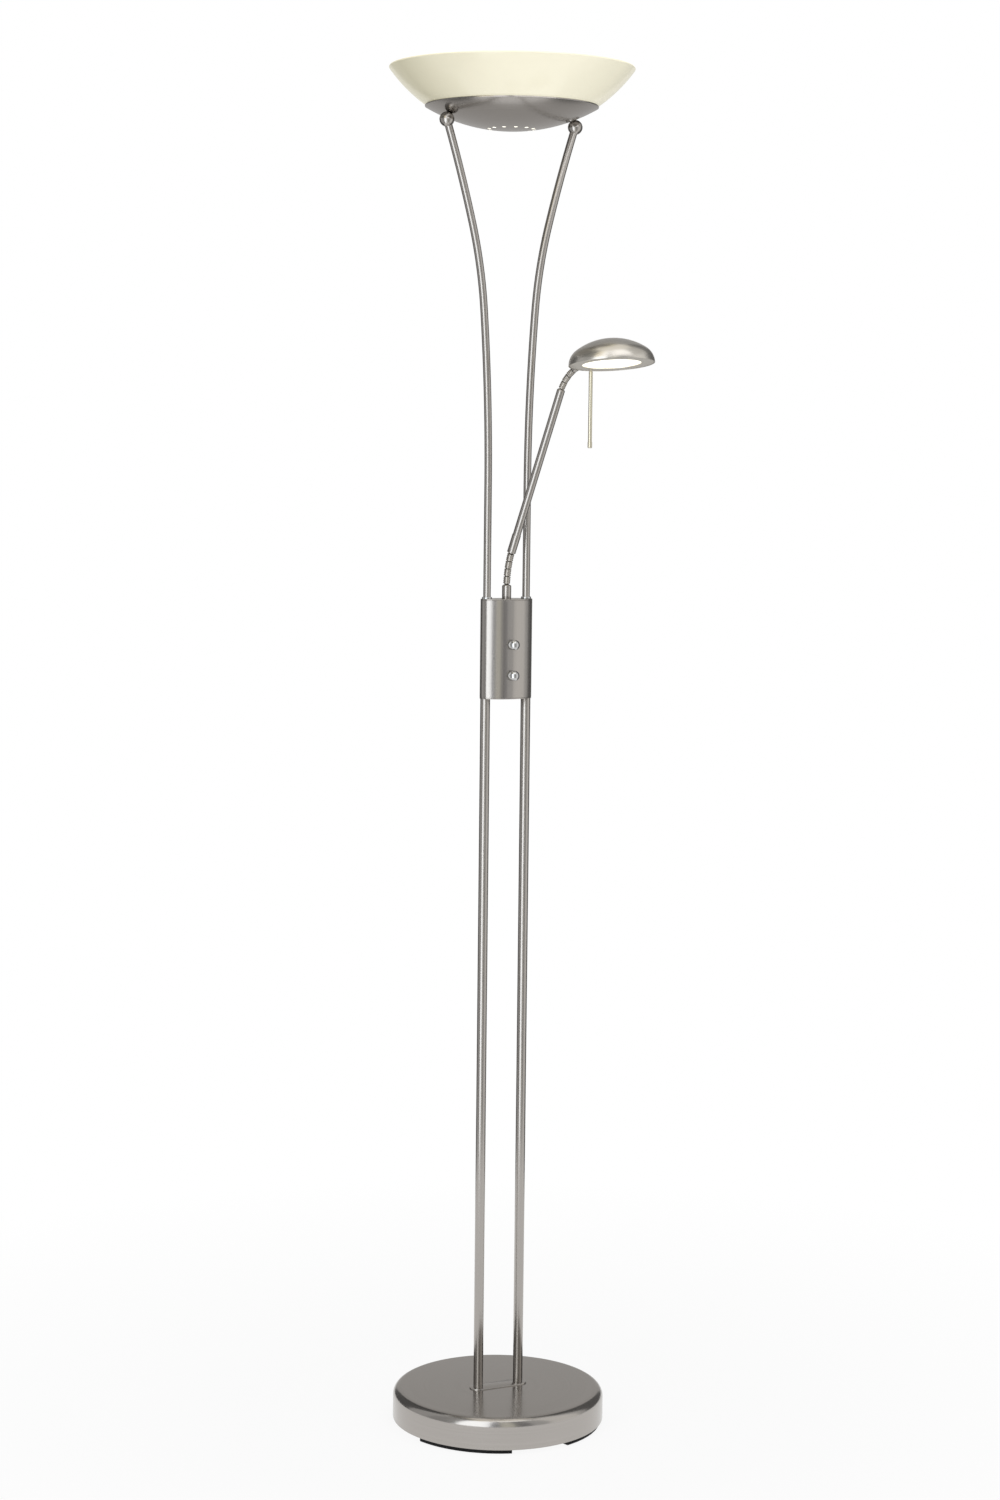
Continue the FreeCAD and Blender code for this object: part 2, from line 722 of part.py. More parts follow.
def uplight_cup():
    """Shallow spun dish with a short upright lip and a ring of vents."""
    inner_r = dish_r - dish_wall
    edge_angle = math.degrees(math.asin(dish_edge_r / dish_r))
    inner_angle = math.degrees(math.asin((dish_edge_r - dish_wall) / inner_r))
    edge = arc_point(dish_centre, dish_r, edge_angle)
    inner_edge = arc_point(dish_centre, inner_r, inner_angle)
    lip_outer = edge + UP * dish_lip
    lip_inner = Vector(inner_edge.x, 0, lip_outer.z)
    bottom = arc_point(dish_centre, dish_r, 0)
    inner_bottom = arc_point(dish_centre, inner_r, 0)
    corners = [(edge, lip_outer), (lip_outer, lip_inner), (lip_inner, inner_edge), (inner_bottom, bottom)]
    dish = spun([line(start, end) for start, end in corners]
                + [arc_edge(dish_centre, dish_r, 0, edge_angle),
                   arc_edge(dish_centre, inner_r, 0, inner_angle)])
    tools = []
    for k in range(vent_count):
        place = on_radius(vent_circle_r, 360 * (k + 0.5) / vent_count)
        tools.append(rod(vent_r, dish_bottom - overrun, dish_bottom + ball_r, place.x, place.y))
    hole = Part.makeCylinder(cup_screw_r + turned_fit, 2 * ball_r, ball_centre, dish_normal())
    return dish.cut(tools + [hole, mirrored(hole)])


bowl_corner_step = bowl_r - bowl_corner_r        # from the sphere's centre to the corner arc's centre
bowl_centre = Vector(0, 0, bowl_bottom + bowl_corner_r + bowl_corner_step * degrees_cos(bowl_corner_angle))
bowl_corner = arc_point(bowl_centre, bowl_corner_step, bowl_corner_angle)
bowl_rim_height = bowl_centre.z - math.sqrt(bowl_r ** 2 - bowl_rim_r ** 2)


def bowl_side(inset, rim_angle):
    """The bowl's rounded corner and its sphere, drawn in by an inset."""
    return [arc_edge(bowl_corner, bowl_corner_r - inset, 0, bowl_corner_angle),
            arc_edge(bowl_centre, bowl_r - inset, bowl_corner_angle, rim_angle)]


def bowl_space(gap):
    """All that the bowl takes up, its inside too, grown by a gap."""
    rim_angle = math.degrees(math.acos((bowl_centre.z - bowl_rim_height) / (bowl_r + gap)))
    low = Vector(0, 0, bowl_bottom - gap)
    high = Vector(0, 0, bowl_rim_height)
    return spun(bowl_side(-gap, rim_angle) + [line(low, arc_point(bowl_corner, bowl_corner_r + gap, 0)),
                                              line(arc_point(bowl_centre, bowl_r + gap, rim_angle), high),
                                              line(high, low)])


def rim_round(distance):
    """Centre of a rounding under the rim's flat top, this far from the sphere's centre, and its angle."""
    drop = bowl_centre.z - bowl_rim_height + bowl_rim_rounding
    angle = math.degrees(math.acos(drop / distance))
    return arc_point(bowl_centre, distance, angle), angle


def glass_bowl():
    """Opal glass bowl: spherical sides, rounded lower corner, flat bottom with a hole, rounded rim."""
    outer, outer_angle = rim_round(bowl_r - bowl_rim_rounding)
    inner, inner_angle = rim_round(bowl_r - bowl_wall + bowl_rim_rounding)
    hole_low = Vector(bowl_hole_r, 0, bowl_bottom)
    hole_high = Vector(bowl_hole_r, 0, bowl_bottom + bowl_wall)
    rise = UP * bowl_rim_rounding
    return spun(bowl_side(0, outer_angle) + bowl_side(bowl_wall, inner_angle)
                + [arc_edge(outer, bowl_rim_rounding, outer_angle, 180), line(outer + rise, inner + rise),
                   arc_edge(inner, bowl_rim_rounding, 180, 180 + inner_angle),
                   line(hole_low, arc_point(bowl_corner, bowl_corner_r, 0)), line(hole_low, hole_high),
                   line(hole_high, arc_point(bowl_corner, bowl_corner_r - bowl_wall, 0))])


def glass_seat_ring():
    """Silicone ring between the dish and the bowl, shaped to both."""
    ring = tube(seat_ring_outer_r, seat_ring_inner_r, dish_bottom, bowl_bottom + bowl_corner_r)
    inside_dish = Part.makeSphere(dish_r - dish_wall - turned_fit, dish_centre)
    return ring.common(inside_dish).cut(bowl_space(turned_fit))


disc_low = bowl_bottom + bowl_wall
disc_high = disc_low + clamp_disc_thick
bracket_low = disc_high + hub_nut_height
bracket_high = bracket_low + bracket_thick
hub_nut_lows = (disc_high, bracket_high)
tube_axis = bracket_low + tube_axis_rise


def hub_stud():
    """Stud welded inside the dish: flange, spacer under the glass and threaded stem."""
    seat = dish_centre.z - math.sqrt((dish_r - dish_wall) ** 2 - hub_flange_r ** 2) + turned_fit
    spacer_top = bowl_bottom - loose_gap
    top = bracket_high + hub_nut_height + hub_tail
    return turned([(hub_bore_r, seat), (hub_flange_r, seat), (hub_flange_r, seat + hub_flange_thick),
                   (hub_spacer_r, seat + hub_flange_thick), (hub_spacer_r, spacer_top), (hub_stem_r, spacer_top),
                   (hub_stem_r, top), (hub_bore_r, top)])


def hub_nuts():
    """One nut on the clamp disc and one on the lampholder bracket."""
    return Part.makeCompound([hexagon(hub_nut_flats, low, low + hub_nut_height)
                              .cut(rod(hub_stem_r + turned_fit, low - overrun, low + hub_nut_height + overrun))
                              for low in hub_nut_lows])


def clamp_disc():
    return tube(clamp_disc_r, hub_stem_r + turned_fit, disc_low, disc_high)


def lampholder_bracket():
    """Flat strip bent up at both ends."""
    half = bracket_width / 2
    floor = block((-bracket_half_length, -half, bracket_low), (bracket_half_length, half, bracket_high))
    legs = [block((-bracket_half_length, -half, bracket_low),
                  (bracket_thick - bracket_half_length, half, bracket_low + bracket_rise))]
    legs.append(mirrored(legs[0]))
    strip = floor.fuse(legs).removeSplitter()
    return strip.cut(rod(hub_stem_r + turned_fit, bracket_low - overrun, bracket_high + overrun))


def right_lampholder():
    """Ceramic block with a pocket for one end of the lamp tube."""
    outer = bracket_half_length - bracket_thick
    half_height = holder_height / 2
    body = block((outer - holder_length, -holder_width / 2, tube_axis - half_height),
                 (outer, holder_width / 2, tube_axis + half_height))
    pocket_end = lamp_tube_length / 2 + turned_fit
    pocket_r = lamp_tube_end_r + lamp_tube_play
    pocket = Part.makeCylinder(pocket_r, pocket_end, Vector(0, 0, tube_axis), Vector(1, 0, 0))
    slot = block((0, -pocket_r, tube_axis), (pocket_end, pocket_r, tube_axis + half_height + overrun))
    return body.cut([pocket, slot])


def halogen_tube():
    """Linear lamp: full tube, tapered necks and two ceramic ends."""
    half_glass = lamp_tube_glass / 2
    half = lamp_tube_length / 2
    neck = lamp_tube_r
    lamp = turned([(0, -half), (lamp_tube_end_r, -half), (lamp_tube_end_r, -half_glass - neck),
                   (lamp_tube_r, -half_glass), (lamp_tube_r, half_glass), (lamp_tube_end_r, half_glass + neck),
                   (lamp_tube_end_r, half), (0, half)])
    return turn_to(lamp, Vector(1, 0, 0), Vector(0, 0, tube_axis))


# ---------------------------------------------------------------- bendable reading arm

outward = on_radius(1, arm_azimuth)
bend_axis = UP.cross(outward)
hose_length = rib_pitch * ribs_per_length


def leaning(angle):
    """Direction in the arm's plane that leans outward from the vertical by an angle."""
    return outward * degrees_sin(angle) + UP * degrees_cos(angle)


def shoulder_drop(hose_r):
    """Depth below a ball's centre at which the next skirt still clears the shoulder."""
    reach = hose_r - skirt_corner
    return skirt_drop * degrees_cos(hose_bend_limit) + reach * degrees_sin(hose_bend_limit)


def ball_radius(hose_r):
    return hose_r - ball_below_crest


def hose_ball(hose_r, height):
    """Ball boss on an upright piece, its centre at a height, flat on top."""
    radius = ball_radius(hose_r)
    low = -math.degrees(math.asin((shoulder_drop(hose_r) + ball_sink) / radius))
    high = math.degrees(math.asin(ball_top / radius))
    return Part.makeSphere(radius, Vector(0, 0, height), UP, low, high)


def hose_socket(hose_r):
    """Tool that opens the socket for a ball centred at zero, from below the skirt."""
    radius = ball_radius(hose_r)
    corner = math.degrees(math.atan2(math.sqrt(radius ** 2 - ball_top ** 2), ball_top)) - hose_bend_limit
    return rod(radius + ball_fit, -skirt_drop - overrun, radius * degrees_cos(corner) + loose_gap)


def wire_bore(low, high):
    return rod(wire_bore_r, low - overrun, high + overrun)


def ribbed_body(hose_r):
    """Ruled loft through four circles for each rib, from the skirt to the shoulder."""
    valley = hose_r - rib_depth
    shoulder = hose_length - shoulder_drop(hose_r)
    rings = []
    for k in range(ribs_per_length):
        foot = k * rib_pitch - skirt_drop
        rings += [(valley, foot), (hose_r, foot + rib_slope), (hose_r, foot + rib_slope + rib_crest),
                  (valley, foot + 2 * rib_slope + rib_crest)]
    last_foot = rings[-4][1]
    rings[-2] = (hose_r, (last_foot + rib_slope + shoulder) / 2)
    rings[-1] = (valley, shoulder)
    circles = [Part.Wire(Part.makeCircle(radius, Vector(0, 0, height), UP)) for radius, height in rings]
    return Part.makeLoft(circles, True, True)


def hose_piece(hose_r):
    """One length of hose, upright, with its socket's centre at zero."""
    body = ribbed_body(hose_r).fuse(hose_ball(hose_r, hose_length))
    return body.cut([hose_socket(hose_r), wire_bore(0, hose_length + ball_top)])


def hose_frames(first, lean, bend, lengths):
    """Ball centres and leans along a hose that bends evenly in the arm's plane."""
    step = bend / (lengths + 1)
    frames = []
    point = first
    for k in range(lengths):
        angle = lean + (k + 1) * step
        frames.append((point, angle))
        point = point + leaning(angle) * hose_length
    frames.append((point, lean + bend))
    return frames


lower_first = Vector(0, 0, box_top + ferrule_height + shoulder_drop(lower_hose_r))
lower_frames = hose_frames(lower_first, 0, arm_lean, lower_hose_lengths)
sleeve_start = lower_frames[-1][0]
upper_first = sleeve_start + leaning(arm_lean) * reading_tube_length
upper_frames = hose_frames(upper_first, arm_lean, upper_hose_bend, upper_hose_lengths)
head_ball, neck_lean = upper_frames[-1]


def placed(shape, frame):
    """Lay an upright piece along the arm at a ball centre."""
    point, angle = frame
    copy = shape.copy()
    copy.Placement = FreeCAD.Placement(point, FreeCAD.Rotation(bend_axis, angle)).multiply(copy.Placement)
    return copy


def hose_ferrule():
    """Turned foot of the lower hose, screwed into the top cap, with the first ball."""
    valley = lower_hose_r - rib_depth
    top = box_top + ferrule_height
    low = sleeve_high - top_cap_plug
    body = turned([(0, low), (ferrule_stem_r, low), (ferrule_stem_r, box_top), (ferrule_r, box_top),
                   (ferrule_r, top - ferrule_bevel), (valley, top), (0, top)])
    return body.fuse(hose_ball(lower_hose_r, lower_first.z)).cut(wire_bore(low, lower_first.z + ball_top))


def arm_sleeve():
    """Smooth sleeve between the lower hose and the reading tube."""
    valley = lower_hose_r - rib_depth
    seat = ball_radius(lower_hose_r) + ball_fit + reading_tube_wall
    body = turned([(0, -skirt_drop), (valley, -skirt_drop), (sleeve_r, -skirt_drop + rib_slope + rib_depth),
                   (sleeve_r, sleeve_length - rib_slope), (reading_tube_r + turned_fit, sleeve_length),
                   (0, sleeve_length)])
    tools = [hose_socket(lower_hose_r), wire_bore(0, sleeve_length),
             rod(reading_tube_r + turned_fit, seat, sleeve_length + overrun)]
    return placed(body.cut(tools), lower_frames[-1])


def reading_arm_tube():
    """Long tube with a closed upper end that carries the first ball of the upper hose."""
    seat = ball_radius(lower_hose_r) + ball_fit + reading_tube_wall + turned_fit
    shoulder = reading_tube_length - shoulder_drop(upper_hose_r)
    valley = upper_hose_r - rib_depth
    plug_low = shoulder - reading_tube_plug
    inner = reading_tube_r - reading_tube_wall
    body = turned([(0, plug_low), (inner, plug_low), (inner, seat), (reading_tube_r, seat),
                   (reading_tube_r, shoulder - (reading_tube_r - valley)), (valley, shoulder), (0, shoulder)])
    body = body.fuse(hose_ball(upper_hose_r, reading_tube_length))
    return placed(body.cut(wire_bore(seat, reading_tube_length + ball_top)), lower_frames[-1])


# ---------------------------------------------------------------- reading head

head_centre = head_ball + outward * (head_stand + head_r) + UP * head_rise
head_placement = FreeCAD.Placement(head_centre, FreeCAD.Rotation(Vector(1, 0, 0), -head_tilt))
in_head = FreeCAD.Rotation(UP, arm_azimuth)      # own X of the head's inner pieces points outward


def in_place(shape):
    """Carry a piece from the head's own frame, whose zero is the centre of the rim."""
    copy = shape.copy()
    copy.Placement = head_placement.multiply(copy.Placement)
    return copy


def turned_outward(shape):
    """Turn an inner piece of the head so that its own X points outward, then place it."""
    copy = shape.copy()
    copy.Placement = FreeCAD.Placement(Vector(), in_head).multiply(copy.Placement)
    return in_place(copy)


shoulder_x = head_r - head_shoulder_r            # centre of the shoulder's arc from the head's axis
shoulder_step = head_height - head_shoulder_r
crown_drop = (shoulder_x ** 2 - shoulder_step ** 2) / 2 / shoulder_step      # crown's centre below the rim


def dome(inset):
    """The space inside the dome: a rounded shoulder and a flatter crown, drawn in by a wall."""
    crown_r = head_height + crown_drop - inset
    shoulder_end = 180 - math.degrees(math.atan2(shoulder_x, crown_drop))
    shoulder = Vector(shoulder_x, 0, 0)
    crown = Vector(0, 0, -crown_drop)
    rim = arc_point(shoulder, head_shoulder_r - inset, 90)
    low = -overrun if inset else 0
    edges = [arc_edge(shoulder, head_shoulder_r - inset, 90, shoulder_end),
             arc_edge(crown, crown_r, shoulder_end, 180),
             line(arc_point(crown, crown_r, 180), Vector(0, 0, low)),
             line(Vector(0, 0, low), Vector(rim.x, 0, low))]
    if inset:
        edges.append(line(Vector(rim.x, 0, low), rim))
    return spun(edges)


def roof_height(radius):
    """Inner height of the dome's crown at a distance from its centre."""
    return math.sqrt((head_height + crown_drop - head_wall) ** 2 - radius ** 2) - crown_drop


def neck_axis_rod(radius, start, end):
    """Bar along the nipple's axis, at distances from the last ball of the hose."""
    direction = leaning(neck_lean)
    return Part.makeCylinder(radius, end - start, head_ball + direction * start, direction)


def head_shell():
    """Spun dome with a hole for the nipple in its rear wall."""
    shell = in_place(dome(0).cut(dome(head_wall)))
    return shell.cut(neck_axis_rod(neck_r + turned_fit, 0, head_r / 2))


def wall_crossing(radius):
    """Distances along the nipple's axis at which a bar of this radius meets the dome's wall and leaves it."""
    wall = in_place(dome(0).cut(dome(head_wall)))
    crossing = wall.common(neck_axis_rod(radius, 0, head_r / 2))
    upright = FreeCAD.Placement(head_ball, FreeCAD.Rotation(bend_axis, neck_lean)).inverse()
    crossing.Placement = upright.multiply(crossing.Placement)
    box = crossing.optimalBoundingBox()
    return box.ZMin, box.ZMax


def hose_nipple():
    """Last socket of the hose, with a neck that is flared behind the dome's wall."""
    valley = upper_hose_r - rib_depth
    body_end = wall_crossing(upper_hose_r)[0] - neck_gap
    flare = wall_crossing(neck_flange_r)[1] + neck_gap
    end = flare + neck_flange_thick
    crest = -skirt_drop + rib_slope
    body = turned([(0, -skirt_drop), (valley, -skirt_drop), (upper_hose_r, crest),
                   (upper_hose_r, body_end - rib_slope), (neck_r, body_end), (neck_r, flare),
                   (neck_flange_r, flare), (neck_flange_r, end), (0, end)])
    return placed(body.cut([hose_socket(upper_hose_r), wire_bore(0, end)]), (head_ball, neck_lean))


ring_low = head_ring_inset
ring_high = ring_low + head_ring_thick
glass_low = ring_high + turned_fit
glass_high = glass_low + head_glass_thick


def rod_place():
    """Where the handle rod meets the head's ring, in the lamp's frame."""
    return head_placement.multVec(on_radius(rod_circle_r, rod_angle, ring_low))


def head_ring():
    """Flat ring that closes the dome from below around the glass."""
    outer = head_r - head_wall - loose_gap
    ring = in_place(tube(outer, head_ring_inner_r, ring_low, ring_high))
    place = rod_place()
    return ring.cut(rod(rod_thread_r + turned_fit, place.z - overrun, place.z + head_ring_thick + overrun,
                        place.x, place.y))


def head_glass():
    return in_place(rod(head_glass_r, glass_low, glass_high))


def glass_clips():
    """Three bent strips, riveted to the ring, that hold the glass down."""
    upstand = head_glass_r + loose_gap
    half = clip_width / 2
    over_low = glass_high + turned_fit
    over_high = over_low + clip_thick
    foot = block((upstand, -half, ring_high), (clip_foot_r, half, ring_high + clip_thick))
    riser = block((upstand, -half, ring_high), (upstand + clip_thick, half, over_high))
    finger = block((clip_finger_r, -half, over_low), (upstand + clip_thick, half, over_high))
    clip = foot.fuse([riser, finger]).removeSplitter()
    clips = []
    for k in range(clip_count):
        turn = arm_azimuth + clip_first_angle + 360 * k / clip_count
        clips.append(in_place(clip.copy().rotate(Vector(), UP, turn)))
    return Part.makeCompound(clips)


def head_bracket():
    """Bent strip under the dome's roof that holds the lampholder."""
    half = head_bracket_width / 2
    roof = roof_height(math.hypot(head_bracket_back, half)) - loose_gap
    leg = block((-head_bracket_back, -half, head_bracket_foot),
                (head_bracket_thick - head_bracket_back, half, roof))
    top = block((-head_bracket_back, -half, roof - head_bracket_thick),
                (head_bracket_reach - head_bracket_back, half, roof))
    return turned_outward(leg.fuse(top).removeSplitter())


socket_start = head_bracket_thick - head_bracket_back
socket_end = socket_start + socket_length


def head_lampholder():
    """Ceramic socket on the bracket's leg, with a bore for the lamp's base."""
    bore = rod(bulb_base_r + turned_fit, socket_length / 2, socket_length + overrun)
    body = rod(socket_r, 0, socket_length).cut(bore)
    return turned_outward(turn_to(body, Vector(1, 0, 0), Vector(socket_start, 0, bulb_axis_height)))


def capsule_bulb():
    """Capsule lamp lying across the dome, its base in the lampholder."""
    base_end = socket_length / 2
    bulb = turned([(0, 0), (bulb_base_r, 0), (bulb_base_r, base_end), (bulb_r, base_end),
                   (bulb_r, bulb_length - bulb_rounding), (bulb_r - bulb_rounding, bulb_length),
                   (0, bulb_length)])
    start = socket_start + base_end + turned_fit
    return turned_outward(turn_to(bulb, Vector(1, 0, 0), Vector(start, 0, bulb_axis_height)))


def handle_rod():
    """Hanging rod to steer the head by: screwed end, plain rod and rounded tip."""
    tip_top = rod_tip_length - rod_length
    bar = turned([(0, rod_thread_length), (rod_thread_r, rod_thread_length), (rod_thread_r, -rod_thread_r),
                  (rod_r, -rod_r), (rod_r, tip_top), (rod_tip_r, tip_top),
                  (rod_tip_r, rod_tip_r / 2 - rod_length), (rod_tip_r / 2, -rod_length), (0, -rod_length)])
    return bar.translate(rod_place())


# ---------------------------------------------------------------- the whole lamp

def lamp():
    """Every sub-part by name."""
    arm = right_arm()
    holder = right_lampholder()
    parts = {
        "foot_pads": foot_pads(), "base_bottom_plate": bottom_plate(), "base_plate_screws": plate_screws(),
        "base_weight": base_weight(), "base_cover": base_cover(), "cord_grommet": cord_grommet(),
        "foot_plate": foot_plate(), "base_studs": base_studs(), "base_stud_nuts": base_stud_nuts(),
        "lower_pole_left": pole(-1), "lower_pole_right": pole(1), "pole_inserts": pole_inserts(),
        "box_nipples": box_nipples(), "box_bottom_cap": box_bottom_cap(), "box_housing": box_housing(),
        "box_top_cap": box_top_cap(), "box_tie_screws": box_tie_screws(), "terminal_block": terminal_block(),
        "dimmer_nuts": dimmer_nuts(), "arm_collars": arm_collars(), "upper_arm_left": mirrored(arm),
        "upper_arm_right": arm, "cup_balls": cup_balls(), "cup_screws": cup_screws(),
        "uplight_cup": uplight_cup(), "glass_seat_ring": glass_seat_ring(), "glass_bowl": glass_bowl(),
        "hub_stud": hub_stud(), "clamp_disc": clamp_disc(), "hub_nuts": hub_nuts(),
        "lampholder_bracket": lampholder_bracket(), "lampholder_left": mirrored(holder),
        "lampholder_right": holder, "halogen_tube": halogen_tube(), "hose_ferrule": hose_ferrule(),
        "arm_sleeve": arm_sleeve(),
        "reading_arm_tube": reading_arm_tube(), "hose_nipple": hose_nipple(), "head_shell": head_shell(),
        "head_ring": head_ring(), "head_glass": head_glass(), "glass_clips": glass_clips(),
        "head_bracket": head_bracket(), "head_lampholder": head_lampholder(), "capsule_bulb": capsule_bulb(),
        "handle_rod": handle_rod(),
    }
    for name, height in knob_heights.items():
        parts["dimmer_" + name] = dimmer(height)
        parts["dimmer_shaft_" + name] = dimmer_shaft(height)
        parts["knob_" + name] = knob(height)
    for name, radius, frames in (("lower", lower_hose_r, lower_frames), ("upper", upper_hose_r, upper_frames)):
        piece = hose_piece(radius)
        for k, frame in enumerate(frames[:-1], 1):
            parts["%s_hose_%d" % (name, k)] = placed(piece, frame)
    return parts


def main():
    os.makedirs("parts", exist_ok=True)
    parts = lamp()
    for name, shape in parts.items():
        save(name, shape)
    print(len(parts), "sub-parts; rim of the bowl at", round(parts["glass_bowl"].BoundBox.ZMax, 2), "mm")


main()
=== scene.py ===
import logging
import math
from collections.abc import Iterable, Sequence
from dataclasses import dataclass, field
from enum import Enum

import bpy
from mathutils import Matrix, Quaternion, Vector


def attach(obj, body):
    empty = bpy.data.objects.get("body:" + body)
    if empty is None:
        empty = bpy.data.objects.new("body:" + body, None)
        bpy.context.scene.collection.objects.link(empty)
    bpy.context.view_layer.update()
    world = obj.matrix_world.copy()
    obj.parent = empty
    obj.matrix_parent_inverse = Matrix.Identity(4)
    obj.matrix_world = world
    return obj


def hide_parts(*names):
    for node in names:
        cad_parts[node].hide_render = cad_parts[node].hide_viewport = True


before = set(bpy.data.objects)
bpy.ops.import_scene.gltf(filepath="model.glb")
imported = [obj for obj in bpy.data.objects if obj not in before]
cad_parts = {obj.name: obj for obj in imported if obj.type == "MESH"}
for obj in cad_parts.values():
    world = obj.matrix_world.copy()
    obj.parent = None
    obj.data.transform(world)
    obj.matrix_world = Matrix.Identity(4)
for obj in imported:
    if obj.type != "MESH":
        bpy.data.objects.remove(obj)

LOG = logging.getLogger("torchiere")
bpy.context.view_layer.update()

MM = 0.001
UP = Vector((0, 0, 1))
FRONT = Vector((0, -1, 0))
Point = tuple[float, float]
Place = tuple[float, float, float]
Colour = tuple[float, float, float]

# Heights and sizes that several sections of the lamp share, in millimetres
BASE_TOP = 47.4
PLATE_THICK = 1.4
BOX_LOW = 981.6
BOX_TOP = 1113.1


# ---------------------------------------------------------------- outlines and meshes

def rounded(outline: Sequence[tuple[float, ...]], steps: int = 4, closed: bool = False) -> list[Point]:
    """Replace the corners of an outline by arcs.

    Args:
        outline: Corners as (radius, height) or (radius, height, rounding), in millimetres.
        steps: Pieces that an arc is divided into.
        closed: Whether the last corner joins the first.

    Returns:
        The outline's points with every rounding worked in.
    """
    points: list[Point] = []
    count = len(outline)
    for index, corner in enumerate(outline):
        here = Vector(corner[:2])
        rounding = corner[2] if len(corner) > 2 else 0.0
        if not rounding or (not closed and index in (0, count - 1)):
            points.append((here.x, here.y))
            continue
        before = (Vector(outline[index - 1][:2]) - here).normalized()
        after = (Vector(outline[(index + 1) % count][:2]) - here).normalized()
        half = before.angle(after) / 2
        centre = here + (before + after).normalized() * (rounding / math.sin(half))
        start = here + before * (rounding / math.tan(half)) - centre
        end = here + after * (rounding / math.tan(half)) - centre
        turn = math.pi - 2 * half
        for step in range(steps + 1):
            shares = [math.sin(part * turn) / math.sin(turn) for part in (1 - step / steps, step / steps)]
            arm = start * shares[0] + end * shares[1]
            points.append((centre.x + arm.x, centre.y + arm.y))
    return points


def arc(centre: Point, radius: float, first: float, last: float, steps: int) -> list[Point]:
    """Points on an arc; its angles go in degrees from straight down towards the outside.

    Args:
        centre: Centre as (radius, height).
        radius: The arc's radius.
        first: Angle of the first point.
        last: Angle of the last point.
        steps: Pieces that the arc is divided into.

    Returns:
        The points as (radius, height).
    """
    points = []
    for step in range(steps + 1):
        angle = math.radians(first + (last - first) * step / steps)
        points.append((centre[0] + radius * math.sin(angle), centre[1] - radius * math.cos(angle)))
    return points


def polar(radius: float, turn: float, height: float = 0.0) -> Vector:
    """Point at a radius from Z, a turn in radians from X, and a height."""
    return Vector((radius * math.cos(turn), radius * math.sin(turn), height))


def keep_places(mesh: bpy.types.Mesh, places: Iterable[Vector]) -> None:
    """Write where each point was, in millimetres, before its piece was bent or placed.

    Args:
        mesh: The piece's mesh.
        places: A place for each of its points.
    """
    kept = mesh.attributes.get("follow") or mesh.attributes.new("follow", "FLOAT_VECTOR", "POINT")
    for item, place in zip(kept.data, places):
        item.vector = place * MM


class Form:
    """A mesh under construction, in millimetres.

    Each point keeps where it was on the piece before the piece was bent or placed, so that
    a pattern can follow the surface.
    """

    def __init__(self) -> None:
        """Start with no points."""
        self.points: list[Vector] = []
        self.unbent: list[Vector] = []
        self.faces: list[tuple[int, ...]] = []

    def _ring(self, points: Iterable[Vector]) -> list[int]:
        """Add a ring of points and return their numbers.

        Args:
            points: The ring's points.

        Returns:
            Their numbers.
        """
        first = len(self.points)
        self.points += points
        self.unbent += self.points[first:]
        return list(range(first, len(self.points)))

    def _join(self, lower: list[int], upper: list[int]) -> None:
        """Close the band between two rings, either of which may be a single point.

        Args:
            lower: Numbers of the lower ring's points.
            upper: Numbers of the upper ring's points.
        """
        count = max(len(lower), len(upper))
        for k in range(count):
            after = (k + 1) % count
            if len(lower) == 1:
                self.faces.append((lower[0], upper[after], upper[k]))
            elif len(upper) == 1:
                self.faces.append((lower[k], lower[after], upper[0]))
            else:
                self.faces.append((lower[k], lower[after], upper[after], upper[k]))

    def turned(self, outline: Sequence[Point], sides: int = 96, closed: bool = False) -> "Form":
        """Turn an outline about Z.

        Args:
            outline: (radius, height) points; walked upwards on the outside.
            sides: Faces around the axis.
            closed: Whether the last point joins the first, as on a ring or a shell with a wall.

        Returns:
            The form itself.
        """
        rings = []
        for radius, height in outline:
            if radius < 1e-6:
                rings.append(self._ring([Vector((0, 0, height))]))
                continue
            rings.append(self._ring(polar(radius, 2 * math.pi * k / sides, height) for k in range(sides)))
        pairs = list(zip(rings, rings[1:])) + ([(rings[-1], rings[0])] if closed else [])
        for lower, upper in pairs:
            if len(lower) > 1 or len(upper) > 1:
                self._join(lower, upper)
        return self

    def lofted(self, sections: Sequence[Sequence[Vector]]) -> "Form":
        """Skin a stack of closed sections with as many points each, and cap both ends.

        Args:
            sections: The sections, from the lowest up.

        Returns:
            The form itself.
        """
        rings = [self._ring(section) for section in sections]
        for lower, upper in zip(rings, rings[1:]):
            self._join(lower, upper)
        self.faces.append(tuple(reversed(rings[0])))
        self.faces.append(tuple(rings[-1]))
        return self

    def moved(self, place: Matrix) -> "Form":
        """Carry every point by a matrix in millimetres; the unbent places stay."""
        self.points = [place @ point for point in self.points]
        return self

    def piece(self, name: str, material: bpy.types.Material, crease: float = 32.0) -> bpy.types.Object:
        """Make the object, at the origin and unturned, with its place in its mesh.

        Args:
            name: The piece's name.
            material: Its finish.
            crease: Edges that turn by more than this many degrees stay sharp.

        Returns:
            The new object, linked into the scene.
        """
        mesh = bpy.data.meshes.new(name)
        mesh.from_pydata([point * MM for point in self.points], [], self.faces)
        keep_places(mesh, self.unbent)
        mesh.validate()
        return finished(name, mesh, material, crease)

    def host(self, name: str) -> bpy.types.Mesh:
        """Make a mesh in millimetres, which a tree can start from.

        Args:
            name: The mesh's name.

        Returns:
            The mesh.
        """
        mesh = bpy.data.meshes.new(name)
        mesh.from_pydata(self.points, [], self.faces)
        return mesh


